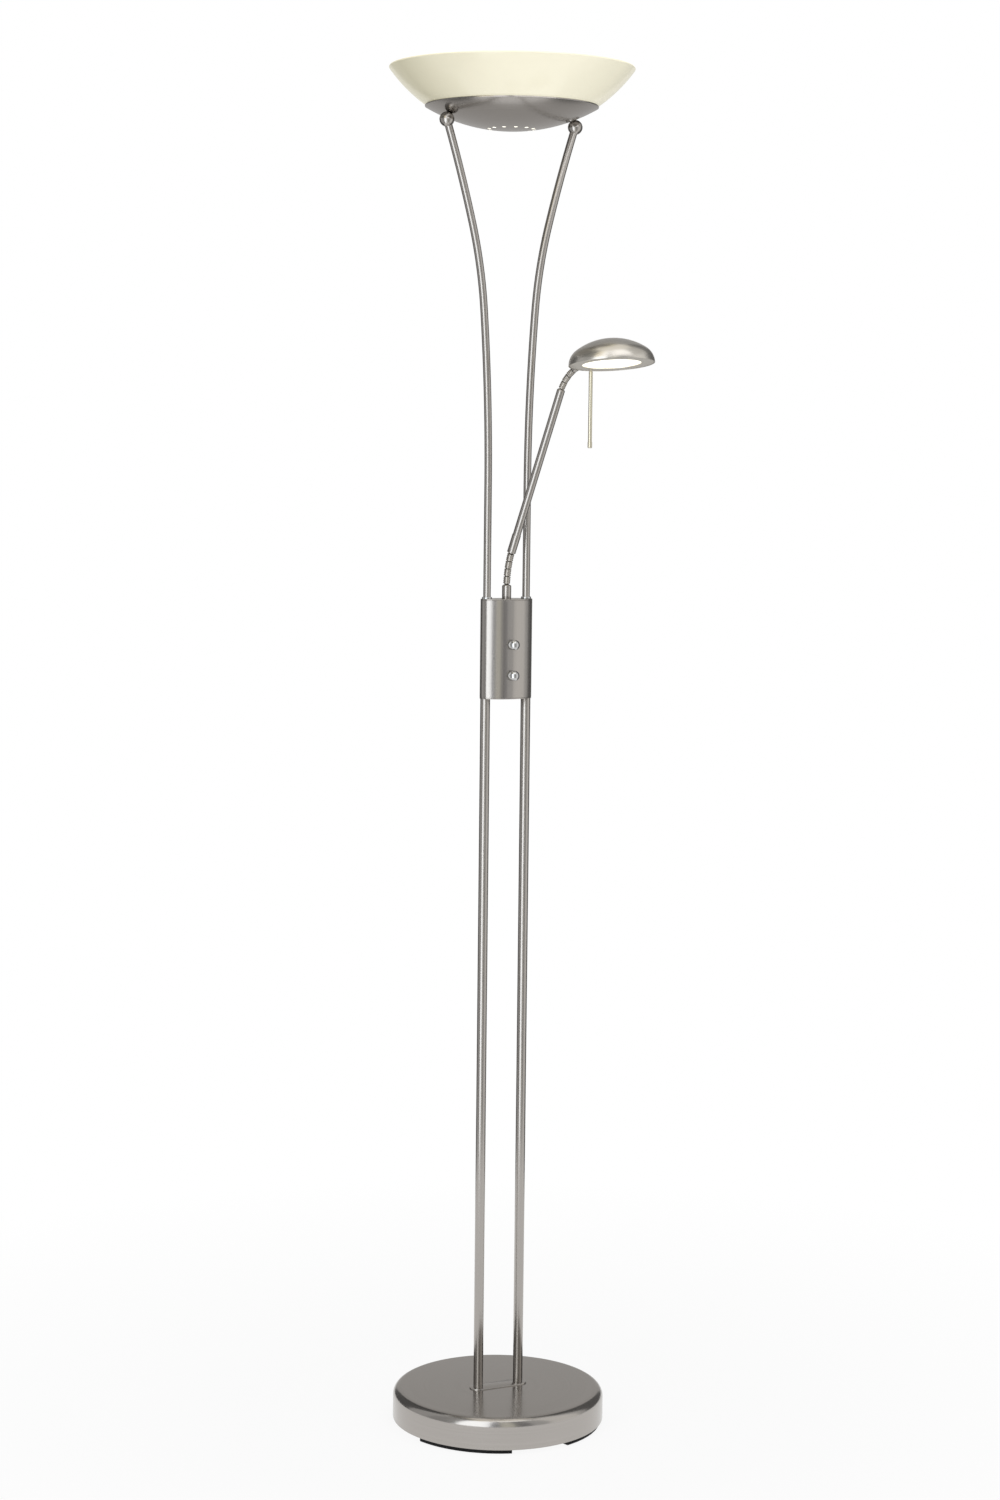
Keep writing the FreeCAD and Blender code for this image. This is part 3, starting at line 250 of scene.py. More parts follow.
def finished(name: str, mesh: bpy.types.Mesh, material: bpy.types.Material,
             crease: float = 32.0) -> bpy.types.Object:
    """Smooth a mesh up to its creases, dress it and link it into the scene.

    Args:
        name: The piece's name.
        mesh: Its mesh, in metres.
        material: Its finish.
        crease: Edges that turn by more than this many degrees stay sharp.

    Returns:
        The new object.
    """
    mesh.polygons.foreach_set("use_smooth", [True] * len(mesh.polygons))
    mesh.set_sharp_from_angle(angle=math.radians(crease))
    mesh.materials.clear()
    mesh.materials.append(material)
    mesh.update()
    made = bpy.data.objects.new(name, mesh)
    bpy.context.scene.collection.objects.link(made)
    return made


def leaning(azimuth: float, lean: float) -> Vector:
    """Direction that leans from the vertical towards an azimuth, both in degrees."""
    tilt = math.radians(lean)
    return polar(math.sin(tilt), math.radians(azimuth), math.cos(tilt))


def standing(place: Vector, direction: Vector) -> Matrix:
    """Matrix that stands an upright piece at a place, along a direction."""
    return Matrix.Translation(place) @ UP.rotation_difference(direction).to_matrix().to_4x4()


# ---------------------------------------------------------------- node trees

class Tree:
    """A node tree under construction, with the calls that shapes and finishes share."""

    def __init__(self, tree: bpy.types.NodeTree, prefix: str) -> None:
        """Hold the tree and the first part of its nodes' types."""
        self.tree = tree
        self.prefix = prefix

    def add(self, kind: str, inputs: dict | None = None, **settings: object) -> bpy.types.Node:
        """Add a node, set its properties, and set or link its inputs.

        Args:
            kind: The node's type without its prefix, such as "MeshLine"; a shader node's may be whole.
            inputs: Values or sockets by input name or number.
            **settings: Properties of the node.

        Returns:
            The node.
        """
        node = self.tree.nodes.new(kind if kind.startswith("ShaderNode") else self.prefix + kind)
        for label, value in settings.items():
            setattr(node, label, value)
        for label, value in (inputs or {}).items():
            if isinstance(value, bpy.types.NodeSocket):
                self.tree.links.new(value, node.inputs[label])
            else:
                node.inputs[label].default_value = value
        return node

    def out(self, kind: str, inputs: dict | None = None, **settings: object) -> bpy.types.NodeSocket:
        """Add a node as add() does, and return its first output."""
        return self.add(kind, inputs, **settings).outputs[0]

    def math(self, operation: str, *terms: object) -> bpy.types.NodeSocket:
        """Result of an operation on sockets or numbers."""
        return self.out("ShaderNodeMath", dict(enumerate(terms)), operation=operation)

    def vector(self, x: object = 0.0, y: object = 0.0, z: object = 0.0) -> bpy.types.NodeSocket:
        """Combine three sockets or numbers."""
        return self.out("ShaderNodeCombineXYZ", {"X": x, "Y": y, "Z": z})


class Growth(Tree):
    """A Geometry Nodes tree, with named inputs for its sizes in millimetres."""

    def __init__(self, name: str, sizes: dict[str, float], counts: dict[str, int] | None = None) -> None:
        """Start a tree.

        Args:
            name: The tree's name.
            sizes: Named lengths and angles with their values.
            counts: Named whole numbers with their values.
        """
        super().__init__(bpy.data.node_groups.new(name, "GeometryNodeTree"), "GeometryNode")
        face = self.tree.interface
        face.new_socket("Geometry", in_out="INPUT", socket_type="NodeSocketGeometry")
        face.new_socket("Geometry", in_out="OUTPUT", socket_type="NodeSocketGeometry")
        self.values: dict[str, float | int] = {}
        for kind, named in (("NodeSocketFloat", sizes), ("NodeSocketInt", counts or {})):
            for label, value in named.items():
                socket = face.new_socket(label, in_out="INPUT", socket_type=kind)
                self.values[socket.identifier] = value
        self.start = self.tree.nodes.new("NodeGroupInput")
        self.end = self.tree.nodes.new("NodeGroupOutput")

    def size(self, label: str) -> bpy.types.NodeSocket:
        """The socket of a named input; "Geometry" is the mesh that enters the tree."""
        return self.start.outputs[label]

    def sum(self, first: object, second: object) -> bpy.types.NodeSocket:
        """Add two sockets or numbers."""
        return self.math("ADD", first, second)

    def times(self, first: object, second: object) -> bpy.types.NodeSocket:
        """Multiply two sockets or numbers."""
        return self.math("MULTIPLY", first, second)

    def joined(self, *parts: bpy.types.NodeSocket) -> bpy.types.NodeSocket:
        """Join geometries.

        Args:
            *parts: The geometries.

        Returns:
            The joined geometry.
        """
        node = self.add("JoinGeometry")
        for part in parts:
            self.tree.links.new(part, node.inputs[0])
        return node.outputs[0]

    def cut(self, drill: bpy.types.NodeSocket) -> bpy.types.NodeSocket:
        """Cut a drill out of the mesh that enters the tree."""
        return self.out("MeshBoolean", {0: self.size("Geometry"), 1: drill}, operation="DIFFERENCE",
                        solver="EXACT")

    def grow(self, name: str, geometry: bpy.types.NodeSocket, material: bpy.types.Material,
             place: Matrix | None = None, crease: float = 40.0,
             host: bpy.types.Mesh | None = None) -> bpy.types.Object:
        """End the tree, evaluate it and keep the result as a plain mesh.

        Args:
            name: The piece's name.
            geometry: The last geometry socket, in millimetres.
            material: The piece's finish.
            place: Where the piece goes, in millimetres.
            crease: Edges that turn by more than this many degrees stay sharp.
            host: Mesh that enters the tree, in millimetres.

        Returns:
            The new object, at the origin, with no modifier.
        """
        whole = self.out("RealizeInstances", {"Geometry": geometry})
        dressed = self.out("SetMaterial", {"Geometry": whole, "Material": material})
        self.tree.links.new(dressed, self.end.inputs[0])
        carrier = bpy.data.objects.new(name + "_carrier", host or bpy.data.meshes.new(name + "_seed"))
        bpy.context.scene.collection.objects.link(carrier)
        modifier = carrier.modifiers.new("grown", "NODES")
        modifier.node_group = self.tree
        for identifier, value in self.values.items():
            modifier[identifier] = value
        view = bpy.context.evaluated_depsgraph_get()
        mesh = bpy.data.meshes.new_from_object(carrier.evaluated_get(view))
        carrier.modifiers.remove(modifier)
        bpy.data.objects.remove(carrier)
        keep_places(mesh, (vertex.co for vertex in mesh.vertices))
        mesh.transform(Matrix.Scale(MM, 4) @ (place or Matrix.Identity(4)))
        mesh.name = name
        return finished(name, mesh, material, crease)


# ---------------------------------------------------------------- finishes

class Grain(Enum):
    """How the fine lines of a finish run on a piece."""

    AROUND = "around the piece's own axis, as turning or spinning leaves them"
    ALONG = "along the piece's own axis, as drawing leaves them"


class Recipe(Tree):
    """A material's node tree, with short calls for what the finishes use."""

    def __init__(self, name: str) -> None:
        """Start from a single Principled shader.

        Args:
            name: The material's name.
        """
        self.material = bpy.data.materials.new(name)
        self.material.use_nodes = True
        super().__init__(self.material.node_tree, "ShaderNode")
        self.shader = next(node for node in self.tree.nodes if node.type == "BSDF_PRINCIPLED")
        self.output = next(node for node in self.tree.nodes if node.type == "OUTPUT_MATERIAL")

    def set(self, **values: object) -> None:
        """Set constant sockets of the shader; an underscore stands for a space.

        Args:
            **values: Numbers or colours by the socket's name.
        """
        for label, value in values.items():
            socket = self.shader.inputs[label.replace("_", " ")]
            socket.default_value = (*value, 1.0) if isinstance(value, tuple) else value

    def drive(self, label: str, source: bpy.types.NodeSocket) -> None:
        """Link a socket into the shader."""
        self.tree.links.new(source, self.shader.inputs[label])

    def own_place(self) -> bpy.types.NodeSocket:
        """Where a point was on its piece before the piece was bent or placed, in metres."""
        return self.add("Attribute", attribute_name="follow").outputs["Vector"]

    def lamp_place(self) -> bpy.types.NodeSocket:
        """Where a point is on the lamp, in metres."""
        return self.add("TexCoord").outputs["Object"]

    def about_axis(self, place: bpy.types.NodeSocket) -> tuple[bpy.types.NodeSocket, ...]:
        """Split a place by the axis Z.

        Args:
            place: The place.

        Returns:
            Its distance from the axis, the cosine and the sine of its turn about it, and its height.
        """
        parts = self.add("SeparateXYZ", {0: place}).outputs
        flat = self.vector(parts[0], parts[1])
        distance = self.add("VectorMath", {0: flat}, operation="LENGTH").outputs["Value"]
        turn = self.add("SeparateXYZ", {0: self.out("VectorMath", {0: flat}, operation="NORMALIZE")}).outputs
        return distance, turn[0], turn[1], parts[2]

    def lines(self, grain: Grain, pitch: float) -> bpy.types.NodeSocket:
        """Coordinates in which noise becomes fine lines.

        Args:
            grain: How the lines run.
            pitch: Pitch of the lines that run around, in millimetres.

        Returns:
            The coordinates.
        """
        radius, cosine, sine, height = self.about_axis(self.own_place())
        if grain is Grain.AROUND:
            fine, sway = 1 / (pitch * MM), 0.4
            return self.vector(self.mad(radius, fine, self.mad(cosine, sway, 0.0)),
                               self.mad(height, fine, self.mad(sine, sway, 0.0)))
        spokes, coarse = 12.0, 6.0
        return self.vector(self.mad(cosine, spokes, 0.0), self.mad(sine, spokes, 0.0),
                           self.mad(height, coarse, 0.0))

    def mad(self, value: object, factor: object, offset: object) -> bpy.types.NodeSocket:
        """Multiply and add."""
        return self.math("MULTIPLY_ADD", value, factor, offset)

    def noise(self, vector: bpy.types.NodeSocket, scale: float, detail: float = 3.0) -> bpy.types.NodeSocket:
        """Noise between 0 and 1."""
        return self.out("TexNoise", {"Vector": vector, "Scale": scale, "Detail": detail})

    def span(self, value: bpy.types.NodeSocket, low: float, high: float, start: float = 0.3,
             end: float = 0.7) -> bpy.types.NodeSocket:
        """Map a value from between start and end to between low and high."""
        return self.out("MapRange", {"Value": value, "From Min": start, "From Max": end, "To Min": low,
                                     "To Max": high})

    def blend(self, share: bpy.types.NodeSocket, first: Colour | bpy.types.NodeSocket,
              second: Colour) -> bpy.types.NodeSocket:
        """Mix two colours by a share."""
        start = first if isinstance(first, bpy.types.NodeSocket) else (*first, 1.0)
        return self.add("Mix", {0: share, 6: start, 7: (*second, 1.0)}, data_type="RGBA").outputs[2]

    def vary(self, pattern: bpy.types.NodeSocket, first: Colour, second: Colour, low: float,
             high: float) -> None:
        """Let a pattern change the colour from one to another, and the roughness from low to high."""
        self.drive("Base Color", self.blend(self.span(pattern, 0.0, 1.0), first, second))
        self.drive("Roughness", self.span(pattern, low, high))

    def relief(self, height: bpy.types.NodeSocket, depth: float, strength: float) -> None:
        """Bump the surface by a height of so many millimetres."""
        bump = self.out("Bump", {"Height": height, "Distance": depth * MM, "Strength": strength})
        self.drive("Normal", bump)


@dataclass(frozen=True)
class SatinMetal:
    """Plated metal with a fine line finish.

    Attributes:
        name: The material's name.
        light: Colour of the lines' crests.
        dark: Colour between them.
        roughness: Mean roughness.
        spread: How far the roughness changes from line to line.
        grain: How the lines run.
        pitch: Pitch of the lines that run around, in millimetres.
        depth: Their depth in millimetres.
        cloud_share: Share of the slow changes over the lamp in the pattern.
    """

    name: str
    light: Colour = (0.45, 0.425, 0.40)
    dark: Colour = (0.41, 0.387, 0.362)
    roughness: float = 0.25
    spread: float = 0.03
    grain: Grain = Grain.ALONG
    pitch: float = 0.9
    depth: float = 0.002
    cloud_share: float = 0.3

    def make(self) -> bpy.types.Material:
        """Build the material."""
        recipe = Recipe(self.name)
        recipe.set(Metallic=1.0, IOR=2.2)
        streaks = recipe.noise(recipe.lines(self.grain, self.pitch), 1.0, 2.0)
        clouds = recipe.noise(recipe.lamp_place(), 7.0, 1.0)
        mixed = recipe.mad(clouds, self.cloud_share, recipe.mad(streaks, 1 - self.cloud_share, 0.0))
        recipe.vary(mixed, self.dark, self.light, self.roughness - self.spread, self.roughness + self.spread)
        recipe.relief(streaks, self.depth, 0.2)
        return recipe.material


@dataclass(frozen=True)
class Chrome:
    """Bright plated metal with the faint waviness of a small turned piece."""

    name: str = "bright_chrome_plate"
    colour: Colour = (0.64, 0.64, 0.635)
    shade: Colour = (0.50, 0.50, 0.50)

    def make(self) -> bpy.types.Material:
        """Build the material."""
        recipe = Recipe(self.name)
        recipe.set(Metallic=1.0, IOR=2.6)
        waves = recipe.noise(recipe.own_place(), 260.0, 2.0)
        recipe.vary(waves, self.shade, self.colour, 0.03, 0.09)
        recipe.relief(waves, 0.05, 0.35)
        return recipe.material


@dataclass(frozen=True)
class OpalGlass:
    """Cream opal glass, lit from inside: the tube lamp lies along X, so the front and rear are brightest.

    Attributes:
        name: The material's name.
        body: The glass's own colour.
        body_light: Its colour where the glass is a little paler.
        side: Glow at both ends of the lamp.
        middle: Glow at the front and the rear.
        lip: Painted highlight along the rim, as a brighter glow there.
        rim: Height of the rim in millimetres.
        rim_highlight_depth: How far down the painted highlight on the rim reaches.
        haze: How much the glow changes from place to place.
    """

    name: str = "cream_opal_glass"
    body: Colour = (0.62, 0.58, 0.44)
    body_light: Colour = (0.6448, 0.6032, 0.4576)
    side: Colour = (0.16, 0.155, 0.11)
    middle: Colour = (0.51, 0.495, 0.41)
    lip: Colour = (0.62, 0.58, 0.42)
    rim: float = 1800.1
    rim_highlight_depth: float = 2.2
    haze: float = 0.12

    def make(self) -> bpy.types.Material:
        """Build the material."""
        recipe = Recipe(self.name)
        recipe.set(Roughness=0.16, IOR=1.5, Emission_Strength=1.0)
        _, _, sine, height = recipe.about_axis(recipe.lamp_place())
        haze = recipe.noise(recipe.lamp_place(), 9.0, 3.0)
        # painted glow: emission stands in for the lamp's light through the glass, brighter at the front and
        # rear
        facing = recipe.math("ABSOLUTE", sine)
        share = recipe.mad(haze, self.haze, recipe.math("ADD", facing, -self.haze / 2))
        # painted highlight: the emission brightens along the top of the rim
        edge = recipe.span(height, 0.0, 1.0, (self.rim - self.rim_highlight_depth) * MM, self.rim * MM)
        glow = recipe.blend(share, self.side, self.middle)
        recipe.drive("Base Color", recipe.blend(recipe.span(haze, 0.0, 1.0), self.body, self.body_light))
        recipe.drive("Emission Color", recipe.blend(edge, glow, self.lip))
        recipe.relief(recipe.noise(recipe.lamp_place(), 30.0, 2.0), 0.10, 0.2)
        return recipe.material


@dataclass(frozen=True)
class GlowingGlass:
    """Frosted glass or a lamp's own glass that shines; also a painted glow on metal that a lamp shines on.

    Attributes:
        name: The material's name.
        colour: Glow in the middle.
        edge: Glow at the edge.
        glow: Strength of the glow.
        reach: Radius of the edge in millimetres.
        core: Share of that radius up to which the glow stays the middle's.
    """

    name: str
    colour: Colour = (1.0, 0.97, 0.88)
    edge: Colour = (1.0, 0.93, 0.74)
    glow: float = 1.3
    reach: float = 39.5
    core: float = 0.55

    def make(self) -> bpy.types.Material:
        """Build the material."""
        recipe = Recipe(self.name)
        recipe.set(Base_Color=(0.9, 0.88, 0.82), IOR=1.5, Emission_Strength=self.glow)
        radius = recipe.about_axis(recipe.own_place())[0]
        share = recipe.span(radius, 0.0, 1.0, self.core * self.reach * MM, self.reach * MM)
        frost = recipe.noise(recipe.own_place(), 900.0, 2.0)
        recipe.drive("Emission Color", recipe.blend(share, self.colour, self.edge))
        recipe.drive("Roughness", recipe.span(frost, 0.35, 0.55))
        recipe.relief(frost, 0.02, 0.3)
        return recipe.material


@dataclass(frozen=True)
class Moulded:
    """Rubber, plastic, ceramic or enamel: a plain colour with fine mottling and texture.

    Attributes:
        name: The material's name.
        colour: Main colour.
        second: Colour of the mottling.
        roughness: Mean roughness.
        spread: How far the roughness changes over the mottling.
        scale: Scale of the mottling, per metre.
        depth: Depth of the surface's texture in millimetres.
        metallic: 1.0 on rough metal, such as a casting.
        specular: Level of its mirror-like part.
    """

    name: str
    colour: Colour
    second: Colour
    roughness: float = 0.6
    spread: float = 0.06
    scale: float = 300.0
    depth: float = 0.02
    metallic: float = 0.0
    specular: float = 0.5

    def make(self) -> bpy.types.Material:
        """Build the material."""
        recipe = Recipe(self.name)
        recipe.set(Metallic=self.metallic, Specular_IOR_Level=self.specular)
        mottle = recipe.noise(recipe.lamp_place(), self.scale, 3.0)
        recipe.vary(mottle, self.colour, self.second, self.roughness - self.spread,
                    self.roughness + self.spread)
        recipe.relief(mottle, self.depth, 0.4)
        return recipe.material


@dataclass(frozen=True)
class ClearGlass:
    """Clear lamp glass with the faint unevenness of drawn tube."""

    name: str = "clear_lamp_glass"
    colour: Colour = (0.97, 0.98, 0.98)

    def make(self) -> bpy.types.Material:
        """Build the material."""
        recipe = Recipe(self.name)
        recipe.set(Base_Color=self.colour, IOR=1.5, Transmission_Weight=0.9,
                   Emission_Color=(1.0, 0.93, 0.78), Emission_Strength=1.5)
        ripple = recipe.noise(recipe.lamp_place(), 160.0, 2.0)
        recipe.drive("Roughness", recipe.span(ripple, 0.02, 0.08))
        recipe.relief(ripple, 0.03, 0.2)
        return recipe.material


class Finishes:
    """Every finish on the lamp, each made once."""

    def __init__(self) -> None:
        """Make the materials."""
        around = Grain.AROUND
        self.drawn = SatinMetal("satin_nickel_drawn", roughness=0.22).make()
        self.spun = SatinMetal("satin_nickel_spun", grain=around, pitch=1.6, roughness=0.19).make()
        self.shade_metal = SatinMetal("satin_nickel_shade", grain=around, pitch=1.2, roughness=0.28,
                                      light=(0.64, 0.61, 0.56), dark=(0.59, 0.56, 0.51)).make()
        self.wound = SatinMetal("satin_nickel_wound", grain=around, pitch=1.1, roughness=0.24,
                                light=(0.50, 0.47, 0.43), dark=(0.42, 0.395, 0.36)).make()
        self.chrome = Chrome().make()
        self.pale_ring = SatinMetal("pale_ring_metal", grain=around, roughness=0.34,
                                    light=(0.80, 0.77, 0.70), dark=(0.72, 0.69, 0.62)).make()
        self.champagne = SatinMetal("champagne_plate", roughness=0.24, light=(0.74, 0.69, 0.55),
                                    dark=(0.68, 0.63, 0.49)).make()
        self.zinc = SatinMetal("zinc_plate", roughness=0.34, light=(0.66, 0.66, 0.65),
                               dark=(0.55, 0.55, 0.55)).make()
        self.opal = OpalGlass().make()
        self.lit = GlowingGlass("frosted_lit_glass").make()
        # painted glow: the dish's metal vent walls shine by emission, standing in for the lamp's light on
        # them
        self.painted_vent_glow = GlowingGlass("vent_wall_painted_glow", glow=1.2).make()
        self.clear = ClearGlass().make()
        self.rubber = Moulded("black_rubber", (0.008, 0.008, 0.009), (0.014, 0.014, 0.015), roughness=0.55,
                              scale=420.0, depth=0.03, specular=0.12).make()
        self.silicone = Moulded("seat_silicone", (0.70, 0.69, 0.65), (0.78, 0.77, 0.73), roughness=0.45,
                                scale=200.0).make()
        self.porcelain = Moulded("white_porcelain", (0.84, 0.83, 0.79), (0.90, 0.89, 0.86), roughness=0.35,
                                 scale=260.0).make()
        self.cast = Moulded("rough_casting", (0.10, 0.095, 0.09), (0.17, 0.16, 0.155), roughness=0.75,
                            scale=160.0, depth=0.25, metallic=0.6).make()
        self.moulding = Moulded("black_moulding", (0.03, 0.03, 0.032), (0.045, 0.045, 0.047), roughness=0.5,
                                scale=500.0).make()


# ---------------------------------------------------------------- the lamp

@dataclass
class Section:
    """A sub-assembly of the lamp: it makes its pieces and fastens them to their bodies."""

    finishes: Finishes
    pieces: list[bpy.types.Object] = field(default_factory=list)

    def settle(self, piece: bpy.types.Object, node: str, slot: str = "satin_nickel",
               body: str = "stand") -> None:
        """Let a piece stand for a solid, take a slot's finish and ride on a body.

        Args:
            piece: The piece.
            node: Solid that it stands for.
            slot: Not used.
            body: Body that it moves with.
        """
        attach(piece, body)
        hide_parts(node)
        self.pieces.append(piece)
        LOG.info("%s on %s: %d faces", piece.name, body, len(piece.data.polygons))

    def dress(self, material: bpy.types.Material, *nodes: str) -> None:
        """Give solids that stay a better finish.

        Args:
            material: The finish.
            *nodes: The solids.
        """
        for node in nodes:
            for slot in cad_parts[node].material_slots:
                slot.material = material
            LOG.info("%s dressed with %s", node, material.name)


@dataclass
class Base(Section):
    """Round base: cover, plate under the poles, feet, grommet and what is inside."""

    radius: float = 142.0
    bottom: float = 6.0
    rounding: float = 12.0
    wall: float = 1.2
    plate_length: float = 82.5
    plate_width: float = 23.4
    plate_edge: float = 0.5
    foot_inner: float = 120.0
    foot_outer: float = 138.0
    foot_span: float = 56.0
    foot_edge: float = 1.6
    foot_count: int = 4
    cord_height: float = 16.0
    cord_hole: float = 5.25
    drill_length: float = 12.0

    def build(self) -> None:
        """Make and fasten every piece of the base."""
        self.settle(self.cover(), "base_cover")
        self.settle(self.foot_plate(), "foot_plate")
        self.settle(self.feet(), "foot_pads", "foot_rubber")
        self.settle(self.grommet(), "cord_grommet", "foot_rubber")
        self.dress(self.finishes.zinc, "base_bottom_plate", "base_plate_screws", "base_studs",
                   "base_stud_nuts")
        self.dress(self.finishes.cast, "base_weight")

    def cover(self) -> bpy.types.Object:
        """Pressed cover with its wall, and the cord hole cut through the rear by a tree."""
        inner, ceiling = self.radius - self.wall, BASE_TOP - self.wall
        outline = rounded([(0, ceiling), (inner, ceiling, self.rounding - self.wall),
                           (inner, self.bottom, 0.3), (self.radius, self.bottom, 0.5),
                           (self.radius, BASE_TOP, self.rounding), (0, BASE_TOP)], 12)
        host = Form().turned(outline, 192).host("base_blank")
        growth = Growth("cord_hole", {"Hole Radius": self.cord_hole, "Height": self.cord_height,
                                      "Base Radius": self.radius, "Drill Length": self.drill_length})
        drill = growth.out("MeshCylinder", {"Vertices": 48, "Radius": growth.size("Hole Radius"),
                                            "Depth": growth.size("Drill Length")})
        rear = growth.vector(y=growth.size("Base Radius"), z=growth.size("Height"))
        laid = growth.out("Transform", {"Geometry": drill, "Rotation": (math.pi / 2, 0, 0),
                                        "Translation": rear})
        return growth.grow("base_cover_shell", growth.cut(laid), self.finishes.spun, crease=28.0, host=host)

    def foot_plate(self) -> bpy.types.Object:
        """Oblong plate with a softened upper edge."""
        half, radius, sides = (self.plate_length - self.plate_width) / 2, self.plate_width / 2, 96
        sections = []
        for inset, drop in ((0.0, PLATE_THICK), (0.0, self.plate_edge), (0.3 * self.plate_edge,) * 2,
                            (self.plate_edge, 0.0)):
            ring = []
            for k in range(sides):
                turn = 2 * math.pi * (k + 0.5) / sides
                end = Vector((math.copysign(half, math.cos(turn)), 0, 0))
                ring.append(end + polar(radius - inset, turn, BASE_TOP + PLATE_THICK - drop))
            sections.append(ring)
        return Form().lofted(sections).piece("foot_plate_oblong", self.finishes.drawn)

    def feet(self) -> bpy.types.Object:
        """Four curved pads, as one arc with a softened section that is repeated by a tree."""
        growth = Growth("curved_pads", {"Inner Radius": self.foot_inner, "Outer Radius": self.foot_outer,
                                        "Height": self.bottom, "Span": math.radians(self.foot_span),
                                        "Edge": self.foot_edge}, {"Pads": self.foot_count})
        inner, outer, height = (growth.size(label) for label in ("Inner Radius", "Outer Radius", "Height"))
        middle = growth.times(growth.sum(inner, outer), 0.5)
        width = growth.sum(outer, growth.times(inner, -1.0))
        route = growth.out("CurveArc", {"Resolution": 40, "Radius": middle, "Start Angle": 0.0,
                                        "Sweep Angle": growth.size("Span")})
        section = growth.out("CurvePrimitiveQuadrilateral", {"Width": width, "Height": height})
        soft = growth.out("FilletCurve", {"Curve": section, "Radius": growth.size("Edge"), "Count": 4},
                          mode="POLY")
        swept = growth.out("CurveToMesh", {"Curve": route, "Profile Curve": soft, "Fill Caps": True})
        raised = growth.out("Transform", {"Geometry": swept,
                                          "Rotation": (0, 0, -math.radians(self.foot_span / 2)),
                                          "Translation": growth.vector(z=growth.times(height, 0.5))})
        seats = growth.out("MeshCircle", {"Vertices": growth.size("Pads"), "Radius": 1.0})
        step = 2 * math.pi / self.foot_count
        turn = growth.vector(z=growth.sum(growth.times(growth.out("InputIndex"), step), step / 2))
        spread = growth.out("InstanceOnPoints", {"Points": seats, "Instance": raised, "Rotation": turn})
        pinned = growth.out("SetPosition", {"Geometry": spread, "Position": (0.0, 0.0, 0.0)})
        return growth.grow("curved_foot_pads", pinned, self.finishes.rubber)

    def grommet(self) -> bpy.types.Object:
        """Rubber grommet with rounded flanges, its bore open."""
        bore, groove, inner, outer = 3.6, 5.2, 6.4, 7.0
        outline = rounded([(bore, -3.15, 0.5), (inner, -3.15, 0.5), (inner, -1.35), (groove, -1.35),
                           (groove, 0.15), (outer, 0.15), (outer, 1.05, 0.4), (5.6, 1.95, 0.3),
                           (bore, 1.95, 0.5)], 3, True)
        place = standing(Vector((0, self.radius, self.cord_height)), -FRONT)
        return Form().turned(outline, 48, True).moved(place).piece("cord_grommet_ring", self.finishes.rubber)


@dataclass
class Poles(Section):
    """The two lower poles with their threaded inserts and nipples."""

    radius: float = 6.5
    wall: float = 1.2
    half_spacing: float = 29.55
    low: float = BASE_TOP + PLATE_THICK
    high: float = BOX_LOW

    def build(self) -> None:
        """Make and fasten the poles."""
        inner = self.radius - self.wall
        outline = rounded([(inner, self.low, 0.2), (self.radius, self.low, 0.35),
                           (self.radius, self.high, 0.3), (inner, self.high, 0.2)], 2, True)
        for side, name in ((-1, "left"), (1, "right")):
            place = Matrix.Translation((side * self.half_spacing, 0, 0))
            pole = Form().turned(outline, 64, True).moved(place)
            self.settle(pole.piece("pole_tube_" + name, self.finishes.drawn), "lower_pole_" + name)
        self.dress(self.finishes.zinc, "pole_inserts", "box_nipples")


